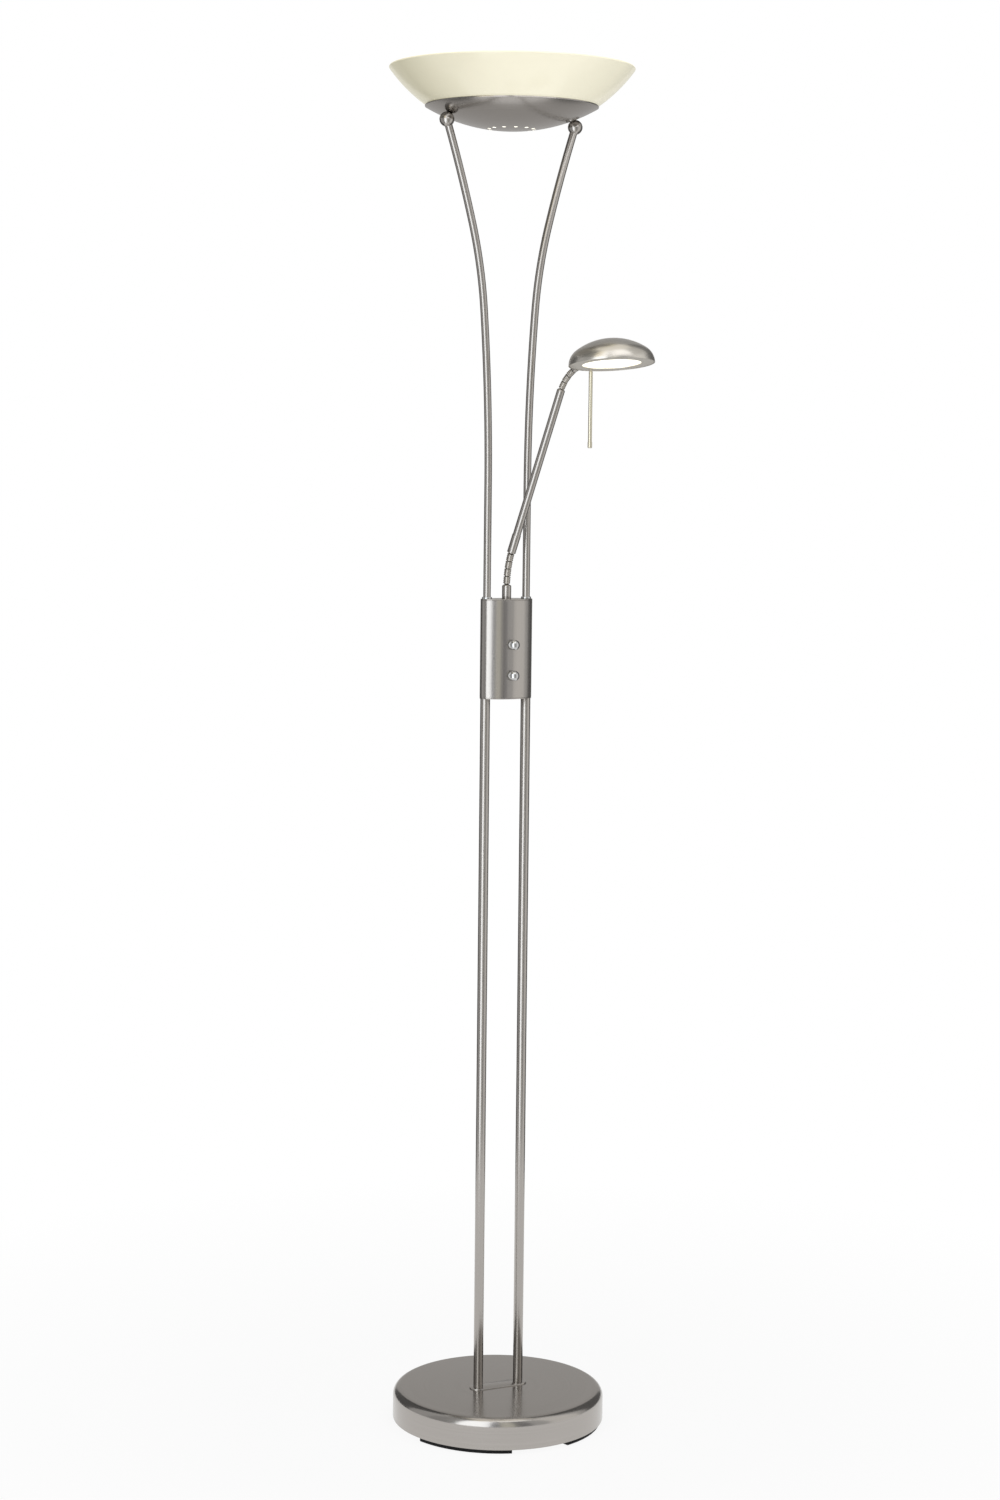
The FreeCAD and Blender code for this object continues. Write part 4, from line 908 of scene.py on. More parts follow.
@dataclass
class DimmerBox(Section):
    """Oval box: sleeve, two caps, knobs and what is inside."""

    half_length: float = 36.4
    half_depth: float = 20.0
    end_radius: float = 13.0
    arc_steps: int = 40
    cap_thick: float = 1.6
    cap_edge: float = 0.55
    sleeve_edge: float = 0.25
    sleeve_bands: int = 8
    knob_radius: float = 6.9
    knob_length: float = 12.0
    knob_dome: float = 5.2
    knob_gap: float = 0.6
    knob_rises: Point = (31.4, 71.9)
    cavity_radius: float = 6.2
    cavity_depth: float = 2.6

    def build(self) -> None:
        """Make and fasten every piece of the box."""
        floor, ceiling = BOX_LOW + self.cap_thick, BOX_TOP - self.cap_thick
        sleeve = self.oval_stack("box_sleeve", floor, ceiling, self.sleeve_edge, self.sleeve_bands)
        self.settle(sleeve, "box_housing")
        self.settle(self.oval_stack("box_cap_top", ceiling, BOX_TOP, self.cap_edge), "box_top_cap")
        self.settle(self.oval_stack("box_cap_bottom", BOX_LOW, floor, self.cap_edge), "box_bottom_cap")
        for rise, name in zip(self.knob_rises, ("lower", "upper")):
            self.settle(self.knob(name, BOX_LOW + rise), "knob_" + name, "bright_chrome", "knob_" + name)
        self.dress(self.finishes.zinc, "box_tie_screws", "dimmer_nuts", "dimmer_shaft_upper",
                   "dimmer_shaft_lower")
        self.dress(self.finishes.moulding, "dimmer_upper", "dimmer_lower")
        self.dress(self.finishes.porcelain, "terminal_block")

    def oval(self, inset: float, height: float) -> list[Vector]:
        """One section of four tangent arcs, drawn in by an inset.

        Args:
            inset: How far the section is drawn in.
            height: Its height.

        Returns:
            Its points.
        """
        reach, rise = self.half_length - self.end_radius, self.half_depth - self.end_radius
        drop = (reach ** 2 - rise ** 2) / 2 / rise
        join, quarter = math.atan2(drop, reach), math.pi / 2
        ring = []
        for x, y, radius, middle, half in ((reach, 0, self.end_radius, 0, join),
                                           (0, -drop, self.half_depth + drop, quarter, quarter - join),
                                           (-reach, 0, self.end_radius, 2 * quarter, join),
                                           (0, drop, self.half_depth + drop, 3 * quarter, quarter - join)):
            for k in range(self.arc_steps):
                turn = middle + half * (2 * k / self.arc_steps - 1)
                ring.append(Vector((x, y, 0)) + polar(radius - inset, turn, height))
        return ring

    def oval_stack(self, name: str, low: float, high: float, edge: float, bands: int = 1) -> bpy.types.Object:
        """Oval body with rounded ends.

        Args:
            name: The piece's name.
            low: Height of its lower end.
            high: Height of its upper end.
            edge: Rounding of both edges.
            bands: Bands that its height is divided into.

        Returns:
            The piece.
        """
        steps = 4
        turns = [math.pi / 2 * k / steps for k in range(steps + 1)]
        rounding = [(edge * (1 - math.sin(turn)), edge * (1 - math.cos(turn))) for turn in turns]
        sections = [self.oval(inset, low + rise) for inset, rise in rounding]
        sections += [self.oval(0.0, low + (high - low) * k / bands) for k in range(1, bands)]
        sections += [self.oval(inset, high - rise) for inset, rise in reversed(rounding)]
        return Form().lofted(sections).piece(name, self.finishes.drawn, 28.0)

    def knob(self, name: str, height: float) -> bpy.types.Object:
        """Domed knob, hollow at the back.

        Args:
            name: Last part of the piece's name.
            height: Height of the knob's axis.

        Returns:
            The piece.
        """
        dome_radius = (self.knob_radius ** 2 + self.knob_dome ** 2) / 2 / self.knob_dome
        start = 180 - math.degrees(math.asin(self.knob_radius / dome_radius))
        dome = arc((0, self.knob_length - dome_radius), dome_radius, start, 180, 20)
        back = rounded([(0, self.cavity_depth), (self.cavity_radius, self.cavity_depth),
                        (self.cavity_radius, 0, 0.15), (self.knob_radius, 0, 0.4), dome[0]], 3)
        form = Form().turned(back[:-1] + dome[:-1] + [(0, self.knob_length)], 72)
        place = standing(Vector((0, -self.half_depth - self.knob_gap, height)), FRONT)
        return form.moved(place).piece("knob_domed_" + name, self.finishes.chrome, 40.0)


@dataclass(frozen=True)
class Sweep:
    """Centre line of the right-hand swept arm, and where the ball and the dish on it lie.

    Attributes:
        start: The arm's distance from the lamp's axis at the box.
        straight: Length of its upright part above the box.
        stretches: Radius of each curved stretch and the arm's lean at its upper end.
        ball_radius: Of the ball at its end.
        ball_reach: From the arm's end to the ball's centre.
        ball_seat: How deep the dish's curve is ground into the ball.
        dish_radius: Of the sphere that the dish is part of.
    """

    start: float = 28.5
    straight: float = 151.9
    stretches: tuple[Point, ...] = ((3000.0, 4.3), (646.0, 14.2), (1987.0, 17.8))
    ball_radius: float = 9.7
    ball_reach: float = 9.4
    ball_seat: float = 0.4
    dish_radius: float = 226.7

    @property
    def points(self) -> list[Vector]:
        """The centre line, from where the upright part ends to the arm's end."""
        place, lean, steps = Vector((self.start, 0, BOX_TOP + self.straight)), 0.0, 12
        points = [place]
        for radius, end in self.stretches:
            first = math.radians(lean)
            centre = place + Vector((radius * math.cos(first), 0, -radius * math.sin(first)))
            for step in range(1, steps + 1):
                angle = math.radians(lean + (end - lean) * step / steps)
                points.append(centre + Vector((-radius * math.cos(angle), 0, radius * math.sin(angle))))
            place, lean = points[-1], end
        return points

    @property
    def direction(self) -> Vector:
        """Direction of the arm's end."""
        return leaning(0, self.stretches[-1][1])

    @property
    def ball_centre(self) -> Vector:
        """Centre of the ball."""
        return self.points[-1] + self.direction * self.ball_reach

    @property
    def dish_centre(self) -> Vector:
        """Centre of the dish's sphere."""
        ball = self.ball_centre
        away = self.dish_radius + self.ball_radius - self.ball_seat
        return Vector((0, 0, ball.z + math.sqrt(away ** 2 - ball.x ** 2)))


@dataclass
class Arms(Section):
    """Two swept arms that carry the uplight, with their rings and balls."""

    sweep: Sweep = Sweep()
    radius: float = 5.0
    hidden_end: float = 1.0
    lower_stretch: float = 40.0
    ball_entry: float = 3.0
    seat_gap: float = 0.05
    collar_radius: float = 6.7
    collar_height: float = 2.6
    collar_fit: float = 0.05

    def build(self) -> None:
        """Make and fasten every piece of the arms."""
        for side, name in ((-1, "left"), (1, "right")):
            self.settle(self.arm(side, name), "upper_arm_" + name)
        self.settle(self.collars(), "arm_collars")
        self.settle(self.balls(), "cup_balls")
        self.dress(self.finishes.zinc, "cup_screws")

    def route(self, side: int) -> list[Vector]:
        """Points of an arm's centre line, upwards from inside the box to inside the ball.

        Args:
            side: -1 for the left arm and 1 for the right one.

        Returns:
            The points.
        """
        points = [Vector((self.sweep.start, 0, BOX_TOP - self.hidden_end)),
                  Vector((self.sweep.start, 0, BOX_TOP + self.lower_stretch))] + self.sweep.points
        points.append(points[-1] + self.sweep.direction * self.ball_entry)
        return [Vector((side * point.x, point.y, point.z)) for point in points]

    def arm(self, side: int, name: str) -> bpy.types.Object:
        """Swept tube: a tree lays a round section along the arm's route.

        Args:
            side: -1 for the left arm and 1 for the right one.
            name: Last part of the piece's name.

        Returns:
            The piece.
        """
        points = self.route(side)
        seed = bpy.data.meshes.new("arm_route_" + name)
        seed.from_pydata(points, [(k, k + 1) for k in range(len(points) - 1)], [])
        growth = Growth("swept_arm_" + name, {"Tube Radius": self.radius}, {"Sides": 48})
        line = growth.out("MeshToCurve", {"Mesh": growth.size("Geometry")})
        section = growth.out("CurvePrimitiveCircle", {"Resolution": growth.size("Sides"),
                                                      "Radius": growth.size("Tube Radius")})
        swept = growth.out("CurveToMesh", {"Curve": line, "Profile Curve": section, "Fill Caps": True})
        piece = growth.grow("arm_tube_" + name, swept, self.finishes.drawn, host=seed)
        self.unbend(piece, points)
        return piece

    def unbend(self, piece: bpy.types.Object, points: Sequence[Vector]) -> None:
        """Write each point's place on the straightened arm, for the finish's lines.

        Args:
            piece: The arm.
            points: Its centre line.
        """
        places = []
        for vertex in piece.data.vertices:
            place = vertex.co / MM
            near = min(points, key=lambda point: abs(point.z - place.z))
            places.append(Vector((place.x - near.x, place.y, place.z)))
        keep_places(piece.data, places)

    def collars(self) -> bpy.types.Object:
        """Rings at the feet of both arms, one outline repeated by a tree."""
        bore, top = self.radius + self.collar_fit, BOX_TOP + self.collar_height
        outline = rounded([(bore, BOX_TOP), (self.collar_radius, BOX_TOP, 0.2),
                           (self.collar_radius, top, 0.7), (bore, top, 0.2)], 4, True)
        host = Form().turned(outline, 48, True).host("collar_blank")
        growth = Growth("collar_pair", {"Spacing": 2 * self.sweep.start}, {"Rings": 2})
        spacing = growth.size("Spacing")
        seats = growth.out("MeshLine", {"Count": growth.size("Rings"),
                                        "Start Location": growth.vector(growth.times(spacing, -0.5)),
                                        "Offset": growth.vector(spacing)})
        spread = growth.out("InstanceOnPoints", {"Points": seats, "Instance": growth.size("Geometry")})
        return growth.grow("collar_rings", spread, self.finishes.chrome, host=host)

    def balls(self) -> bpy.types.Object:
        """Balls at the arms' ends, each hollowed to the dish's curve where it touches."""
        form = Form()
        ball, middle = self.sweep.ball_centre, self.sweep.dish_centre
        nearest = self.sweep.dish_radius + self.seat_gap
        for side in (-1, 1):
            first = len(form.points)
            centre = Vector((side * ball.x, 0, ball.z))
            form.turned(arc((0, 0), self.sweep.ball_radius, 0, 180, 32), 64)
            for k in range(first, len(form.points)):
                place = form.points[k] + centre
                away = place - middle
                form.points[k] = place if away.length >= nearest else middle + away.normalized() * nearest
        return form.piece("arm_end_balls", self.finishes.spun, 60.0)


@dataclass
class Uplight(Section):
    """Metal dish with vents, glass bowl and the fittings inside it."""

    sweep: Sweep = Sweep()
    dish_edge: float = 112.7
    dish_lip: float = 1.5
    dish_wall: float = 0.9
    lip_rounding: float = 0.35
    vent_radius: float = 2.4
    vent_circle: float = 29.5
    vents: int = 12
    drill_length: float = 12.0
    bowl_radius: float = 197.0
    bowl_rim: float = 160.9
    bowl_wall: float = 4.0
    rim_rounding: float = 1.6
    bowl_lift: float = 20.05
    corner_radius: float = 60.0
    corner_angle: float = 33.5
    hole_radius: float = 9.0

    def build(self) -> None:
        """Make and fasten every piece of the uplight."""
        self.settle(self.dish(), "uplight_cup")
        self.settle(self.bowl(), "glass_bowl", "opal_glass")
        self.dress(self.finishes.silicone, "glass_seat_ring")
        self.dress(self.finishes.zinc, "hub_stud", "clamp_disc", "hub_nuts", "lampholder_bracket")
        self.dress(self.finishes.porcelain, "lampholder_left", "lampholder_right")
        self.dress(self.finishes.clear, "halogen_tube")

    def dish(self) -> bpy.types.Object:
        """Spun dish with an upright lip; a tree cuts the ring of vents."""
        outside, inside = self.sweep.dish_radius, self.sweep.dish_radius - self.dish_wall
        inner_edge = self.dish_edge - self.dish_wall
        centre = (0, self.sweep.dish_centre.z)
        outer = arc(centre, outside, 0, math.degrees(math.asin(self.dish_edge / outside)), 48)
        inner = arc(centre, inside, math.degrees(math.asin(inner_edge / inside)), 0, 40)
        top = outer[-1][1] + self.dish_lip
        lip = rounded([outer[-1], (self.dish_edge, top, self.lip_rounding),
                       (inner_edge, top, self.lip_rounding), inner[0]], 3)
        host = Form().turned(outer + lip[1:-1] + inner, 192).host("dish_blank")
        growth = Growth("vented_dish", {"Vent Radius": self.vent_radius, "Circle Radius": self.vent_circle,
                                        "Height": centre[1] - outside, "Drill Length": self.drill_length},
                        {"Vents": self.vents})
        seats = growth.out("MeshCircle", {"Vertices": growth.size("Vents"),
                                          "Radius": growth.size("Circle Radius")})
        placed = growth.out("Transform", {"Geometry": seats, "Rotation": (0, 0, math.pi / self.vents),
                                          "Translation": growth.vector(z=growth.size("Height"))})
        drill = growth.out("MeshCylinder", {"Vertices": 24, "Radius": growth.size("Vent Radius"),
                                            "Depth": growth.size("Drill Length")})
        drills = growth.out("InstanceOnPoints", {"Points": placed, "Instance": drill})
        cut = growth.cut(growth.out("RealizeInstances", {"Geometry": drills}))
        dish = growth.grow("vented_dish", cut, self.finishes.spun, crease=28.0, host=host)
        self.paint_vent_glow(dish)
        return dish

    def paint_vent_glow(self, dish: bpy.types.Object) -> None:
        """Give the vents' walls, which the lamp inside shines on, a painted glow: an emissive finish of their
        own.

        Args:
            dish: The dish with its vents.
        """
        dish.data.materials.append(self.finishes.painted_vent_glow)
        middle, skin = self.sweep.dish_centre, 0.02
        for face in dish.data.polygons:
            centre = face.center / MM
            depth = self.sweep.dish_radius - (centre - middle).length
            # faces inside the wall round the vents take the painted glow
            if skin < depth < self.dish_wall - skin and centre.xy.length < 2 * self.vent_circle:
                face.material_index = 1

    @property
    def bowl_bottom(self) -> float:
        """Height of the bowl's flat bottom."""
        return self.sweep.dish_centre.z - self.sweep.dish_radius + self.bowl_lift

    @property
    def bowl_centre(self) -> float:
        """Height of the centre of the bowl's sphere."""
        step = self.bowl_radius - self.corner_radius
        return self.bowl_bottom + self.corner_radius + step * math.cos(math.radians(self.corner_angle))

    def rim_round(self, distance: float) -> tuple[Point, float]:
        """Place of a rounding under the bowl's rim.

        Args:
            distance: From the sphere's centre to the rounding's.

        Returns:
            The rounding's centre and its angle on the sphere in degrees.
        """
        drop = math.sqrt(self.bowl_radius ** 2 - self.bowl_rim ** 2) + self.rim_rounding
        angle = math.degrees(math.acos(drop / distance))
        return arc((0, self.bowl_centre), distance, angle, angle, 1)[0], angle

    def bowl_side(self, inset: float, end: float) -> list[Point]:
        """The bowl's outline from its hole up to an angle of its sphere, drawn in by a wall.

        Args:
            inset: How far the outline is drawn in.
            end: The angle in degrees.

        Returns:
            The outline's points.
        """
        centre, join = (0, self.bowl_centre), self.corner_angle
        corner = arc(centre, self.bowl_radius - self.corner_radius, join, join, 1)[0]
        return ([(self.hole_radius, self.bowl_bottom + inset)]
                + arc(corner, self.corner_radius - inset, 0, join, 14)
                + arc(centre, self.bowl_radius - inset, join, end, 40)[1:])

    def bowl(self) -> bpy.types.Object:
        """Glass bowl with its wall, a rounded rim and the hole in its flat bottom."""
        outer, outer_end = self.rim_round(self.bowl_radius - self.rim_rounding)
        inner, inner_end = self.rim_round(self.bowl_radius - self.bowl_wall + self.rim_rounding)
        outline = (self.bowl_side(0.0, outer_end) + arc(outer, self.rim_rounding, outer_end, 180, 10)[1:]
                   + arc(inner, self.rim_rounding, 180, 180 + inner_end, 10)[:-1]
                   + self.bowl_side(self.bowl_wall, inner_end)[::-1])
        return Form().turned(outline, 192, True).piece("opal_bowl", self.finishes.opal, 50.0)


@dataclass(frozen=True)
class Hose:
    """One ribbed hose, a row of short lengths that seat in each other as ball and socket.

    Attributes:
        name: First part of its bodies' names.
        radius: Of the ribs' crests.
        lengths: How many lengths it has.
        pitch: From one socket's centre to the next.
        rib_depth: From the crests to the valleys between them.
        below_crest: The hose's radius less a ball's.
        ball_top: Flat top of a ball above its centre.
        ball_sink: How far a ball reaches into the piece that carries it.
        skirt: How far a length hangs below its socket's centre.
        skirt_corner: How far the skirt's widest corner lies inside the crests.
        limit: Furthest bend between two lengths, in degrees.
    """

    name: str
    radius: float
    lengths: int
    pitch: float = 10.2
    rib_depth: float = 0.65
    below_crest: float = 1.15
    ball_top: float = 2.0
    ball_sink: float = 0.33
    skirt: float = 1.2
    skirt_corner: float = 0.16
    limit: float = 18.0

    @property
    def valley(self) -> float:
        """Radius between the ribs."""
        return self.radius - self.rib_depth

    @property
    def ball_radius(self) -> float:
        """Radius of each ball."""
        return self.radius - self.below_crest

    @property
    def drop(self) -> float:
        """Depth below a ball's centre at which the next skirt still clears the shoulder."""
        limit = math.radians(self.limit)
        return self.skirt * math.cos(limit) + (self.radius - self.skirt_corner) * math.sin(limit)

    def ball(self, height: float) -> list[Point]:
        """Outline of a ball from its root over its flat top to the axis, its centre at a height.

        Args:
            height: Height of the ball's centre.

        Returns:
            The outline's points.
        """
        low = 90 - math.degrees(math.asin((self.drop + self.ball_sink) / self.ball_radius))
        high = 90 + math.degrees(math.asin(self.ball_top / self.ball_radius))
        return arc((0, height), self.ball_radius, low, high, 16) + [(0, height + self.ball_top)]


@dataclass(frozen=True)
class Bend:
    """Centre line of the reading arm, which lies in one upright plane.

    Attributes:
        lower: Hose between the ferrule and the tube.
        upper: Hose between the tube and the head.
        azimuth: Direction that the arm leans to.
        ferrule_top: Height at which the ferrule ends.
        tube_length: Between the last ball of the lower hose and the first of the upper.
        tube_lean: The tube's lean from the vertical.
        neck_lean: That of the head's neck.
    """

    lower: Hose = Hose("lower_hose", 4.75, 4)
    upper: Hose = Hose("upper_hose", 4.25, 3)
    azimuth: float = -65.6
    ferrule_top: float = BOX_TOP + 18.6
    tube_length: float = 229.7
    tube_lean: float = 20.9
    neck_lean: float = 62.2

    def along(self, hose: Hose, start: Vector, lean: float, end: float) -> list[tuple[Vector, float]]:
        """Socket centres and leans along an evenly bent hose.

        Args:
            hose: The hose.
            start: Centre of its first socket.
            lean: Lean of the piece below it.
            end: Lean of the piece above it.

        Returns:
            A centre and a lean for each length, and last those of the piece above.
        """
        frames = []
        for k in range(1, hose.lengths + 1):
            own = lean + (end - lean) * k / (hose.lengths + 1)
            frames.append((start, own))
            start = start + leaning(self.azimuth, own) * hose.pitch
        return frames + [(start, end)]

    @property
    def lower_frames(self) -> list[tuple[Vector, float]]:
        """Centres and leans of the lower hose's lengths and of the tube."""
        start = Vector((0, 0, self.ferrule_top + self.lower.drop))
        return self.along(self.lower, start, 0.0, self.tube_lean)

    @property
    def upper_frames(self) -> list[tuple[Vector, float]]:
        """Centres and leans of the upper hose's lengths and of the head's neck."""
        foot, lean = self.lower_frames[-1]
        start = foot + leaning(self.azimuth, lean) * self.tube_length
        return self.along(self.upper, start, lean, self.neck_lean)

    def place(self, point: Vector, lean: float) -> Matrix:
        """Matrix of an upright piece on the arm."""
        return standing(point, leaning(self.azimuth, lean))


@dataclass
class ReadingArm(Section):
    """Bendable arm: ferrule, lower hose, sleeve, tube and upper hose."""

    bend: Bend = Bend()
    rib_pitch: float = 2.397
    first_rib: float = -0.095
    bead: float = 0.7
    bead_stretch: float = 1.15
    ribs: int = 4
    ferrule_radius: float = 6.1
    ferrule_bevel: float = 1.5
    sleeve_radius: float = 5.75
    sleeve_length: float = 25.0
    tube_radius: float = 5.25
    tube_start: float = 8.0
    tube_taper: float = 1.65

    def build(self) -> None:
        """Make and fasten every piece of the arm."""
        self.settle(self.ferrule(), "hose_ferrule")
        bend = self.bend
        for hose, frames in ((bend.lower, bend.lower_frames), (bend.upper, bend.upper_frames)):
            for number, (point, lean) in enumerate(frames[:-1], 1):
                body = "%s_%d" % (hose.name, number)
                self.settle(self.hose_length(hose, body + "_ribs", point, lean), body, body=body)
        self.settle(self.sleeve(), "arm_sleeve", body="reading_arm")
        self.settle(self.tube(), "reading_arm_tube", body="reading_arm")

    def hose_length(self, hose: Hose, name: str, point: Vector, lean: float) -> bpy.types.Object:
        """One length of hose: a tree stacks its ribs on a core and adds the ball.

        Args:
            hose: The hose that it belongs to.
            name: The piece's name.
            point: Its socket's centre.
            lean: Its lean from the vertical.

        Returns:
            The piece.
        """
        growth = Growth(name, {"Crest Radius": hose.radius, "Bead": self.bead,
                               "Bead Stretch": self.bead_stretch, "Pitch": self.rib_pitch,
                               "First Rib": self.first_rib, "Core Radius": hose.valley,
                               "Core Low": -hose.skirt, "Core High": hose.pitch - hose.drop},
                        {"Ribs": self.ribs})
        bead, low, high = (growth.size(label) for label in ("Bead", "Core Low", "Core High"))
        ring_radius = growth.sum(growth.size("Crest Radius"), growth.times(bead, -1.0))
        ring = growth.out("CurvePrimitiveCircle", {"Resolution": 56, "Radius": ring_radius})
        section = growth.out("CurvePrimitiveCircle", {"Resolution": 14, "Radius": bead})
        rib = growth.out("CurveToMesh", {"Curve": ring, "Profile Curve": section})
        stretch = growth.vector(1.0, 1.0, growth.size("Bead Stretch"))
        stretched = growth.out("Transform", {"Geometry": rib, "Scale": stretch})
        seats = growth.out("MeshLine", {"Count": growth.size("Ribs"),
                                        "Start Location": growth.vector(z=growth.size("First Rib")),
                                        "Offset": growth.vector(z=growth.size("Pitch"))})
        stack = growth.out("InstanceOnPoints", {"Points": seats, "Instance": stretched})
        tall, middle = growth.sum(high, growth.times(low, -1.0)), growth.times(growth.sum(high, low), 0.5)
        core = growth.out("MeshCylinder", {"Vertices": 56, "Radius": growth.size("Core Radius"),
                                           "Depth": tall}, fill_type="NONE")
        raised = growth.out("Transform", {"Geometry": core, "Translation": growth.vector(z=middle)})
        ball = growth.out("MeshUVSphere", {"Segments": 40, "Rings": 24, "Radius": hose.ball_radius})
        seated = growth.out("Transform", {"Geometry": ball, "Translation": (0, 0, hose.pitch)})
        whole = growth.joined(stack, raised, seated)
        return growth.grow(name, whole, self.finishes.wound, self.bend.place(point, lean))

    def ferrule(self) -> bpy.types.Object:
        """Turned foot of the lower hose, bevelled at the top, with the first ball."""
        hose, top = self.bend.lower, self.bend.ferrule_top
        outline = rounded([(0, BOX_TOP), (self.ferrule_radius, BOX_TOP, 0.25),
                           (self.ferrule_radius, top - self.ferrule_bevel, 0.8), (hose.valley, top, 0.2),
                           (3.4, top)], 4) + hose.ball(top + hose.drop)
        return Form().turned(outline, 64).piece("ferrule_turned", self.finishes.drawn)

    def sleeve(self) -> bpy.types.Object:
        """Smooth sleeve with softened ends."""
        hose, radius, end = self.bend.lower, self.sleeve_radius, self.sleeve_length
        outline = rounded([(3.7, -hose.skirt), (hose.valley, -hose.skirt), (radius, 0.0, 0.5),
                           (radius, end - 0.1, 0.5), (self.tube_radius + 0.02, end)], 4)
        place = self.bend.place(*self.bend.lower_frames[-1])
        return Form().turned(outline, 64).moved(place).piece("sleeve_turned", self.finishes.drawn)

    def tube(self) -> bpy.types.Object:
        """Long tube, drawn in at its upper end, with the first ball of the upper hose."""
        hose, radius, end = self.bend.upper, self.tube_radius, self.bend.tube_length
        shoulder = end - hose.drop
        outline = rounded([(radius, self.tube_start), (radius, shoulder - self.tube_taper, 1.2),
                           (hose.valley, shoulder, 0.2), (2.9, shoulder)], 4) + hose.ball(end)
        place = self.bend.place(*self.bend.lower_frames[-1])
        return Form().turned(outline, 64).moved(place).piece("reading_tube", self.finishes.drawn)


@dataclass
class ReadingHead(Section):
    """Domed reading light: shell, ring, lit glass, nipple, rod and what is inside."""

    bend: Bend = Bend()
    stand: float = 5.8
    rise: float = 5.6
    tilt: float = 7.8
    radius: float = 55.0
    height: float = 33.0
    shoulder_radius: float = 23.0
    wall: float = 1.0
    ring_inner: float = 37.5
    ring_inset: float = 1.3
    ring_low: float = 0.3
    ring_thick: float = 1.2
    glass_radius: float = 39.5
    glass_thick: float = 2.8
    glass_gap: float = 0.05
    rod_circle: float = 45.8
    rod_turn: float = 98.4
    rod_radius: float = 2.5
    rod_tip_radius: float = 2.9
    rod_tip_length: float = 8.0
    rod_length: float = 100.0
    thread_radius: float = 1.25
    thread_length: float = 3.6
    neck_radius: float = 2.8
    neck_start: float = 4.63
    flange_radius: float = 3.4
    flange_low: float = 11.138
    flange_thick: float = 1.0

    def build(self) -> None:
        """Make and fasten every piece of the head."""
        for piece, node, slot in ((self.shell(), "head_shell", "satin_nickel"),
                                  (self.ring(), "head_ring", "head_ring_metal"),
                                  (self.glass(), "head_glass", "frosted_glass"),
                                  (self.nipple(), "hose_nipple", "satin_nickel"),
                                  (self.rod(), "handle_rod", "satin_nickel")):
            self.settle(piece, node, slot, "reading_head")
        self.dress(self.finishes.zinc, "glass_clips", "head_bracket")
        self.dress(self.finishes.porcelain, "head_lampholder")
        self.dress(self.finishes.clear, "capsule_bulb")

    @property
    def place(self) -> Matrix:
        """Matrix of the head, whose own zero is the centre of its rim."""
        outward = leaning(self.bend.azimuth, 90) * (self.stand + self.radius)
        centre = self.bend.upper_frames[-1][0] + outward + UP * self.rise
        return Matrix.Translation(centre) @ Matrix.Rotation(math.radians(-self.tilt), 4, "X")

    def dome(self, inset: float) -> list[Point]:
        """Outline of the dome from its rim to its top, drawn in by a wall.

        Args:
            inset: How far the outline is drawn in.

        Returns:
            The outline's points.
        """
        side = self.radius - self.shoulder_radius
        step = self.height - self.shoulder_radius
        drop = (side ** 2 - step ** 2) / 2 / step
        turn = 180 - math.degrees(math.atan2(side, drop))
        return (arc((side, 0), self.shoulder_radius - inset, 90, turn, 20)
                + arc((0, -drop), self.height + drop - inset, turn, 180, 28)[1:])

    def shell(self) -> bpy.types.Object:
        """Spun dome with its wall and a softened rim."""
        outer, inner, edge = self.dome(0.0), self.dome(self.wall), self.radius
        outline = ([(edge - 0.3, 0.0), (edge - 0.08, 0.1), (edge, 0.35)] + outer[1:-1]
                   + [(0, self.height), (0, self.height - self.wall)] + inner[-2:0:-1]
                   + [(edge - self.wall, 0.2), (edge - 0.8, 0.0)])
        form = Form().turned(outline, 160, True).moved(self.place)
        return form.piece("dome_shell", self.finishes.shade_metal)

    def ring(self) -> bpy.types.Object:
        """Flat ring under the dome with rolled edges."""
        outer, low, high = self.radius - self.ring_inset, self.ring_low, self.ring_low + self.ring_thick
        outline = rounded([(self.ring_inner, low, 0.45), (outer, low, 0.3), (outer, high, 0.3),
                           (self.ring_inner, high, 0.3)], 3, True)
        return Form().turned(outline, 160, True).moved(self.place).piece("dome_ring", self.finishes.pale_ring)

    def glass(self) -> bpy.types.Object:
        """Lit glass with a softened edge."""
        radius, low = self.glass_radius, self.ring_low + self.ring_thick + self.glass_gap
        high = low + self.glass_thick
        outline = rounded([(0, low), (radius, low, 0.6), (radius, high, 0.6), (0, high)], 3)
        return Form().turned(outline, 96).moved(self.place).piece("lit_glass", self.finishes.lit)

    def nipple(self) -> bpy.types.Object:
        """Last socket of the hose with its neck through the dome's wall."""
        hose, neck, flange = self.bend.upper, self.neck_radius, self.flange_radius
        end, low, high = self.neck_start, self.flange_low, self.flange_low + self.flange_thick
        outline = rounded([(3.2, -hose.skirt), (hose.valley, -hose.skirt), (hose.radius, -0.65, 0.3),
                           (hose.radius, end - 0.55, 0.4), (neck, end), (neck, low), (flange, low),
                           (flange, high), (0, high)], 4)
        place = self.bend.place(*self.bend.upper_frames[-1])
        return Form().turned(outline, 48).moved(place).piece("neck_nipple", self.finishes.drawn)

    def rod(self) -> bpy.types.Object:
        """Hanging rod: screwed end, plain rod, and a wider tip."""
        tip, tip_top = self.rod_tip_radius, self.rod_tip_length - self.rod_length
        outline = rounded([(0, -self.rod_length), (tip, -self.rod_length, 1.3), (tip, tip_top, 0.3),
                           (self.rod_radius, tip_top), (self.rod_radius, -2.5, 0.3),
                           (self.thread_radius, -1.25), (self.thread_radius, self.thread_length),
                           (0, self.thread_length)], 4)
        screw_in = polar(self.rod_circle, math.radians(self.rod_turn), self.ring_low)
        form = Form().turned(outline, 40).moved(Matrix.Translation(self.place @ screw_in))
        return form.piece("steering_rod", self.finishes.champagne)


# ---------------------------------------------------------------- the studio

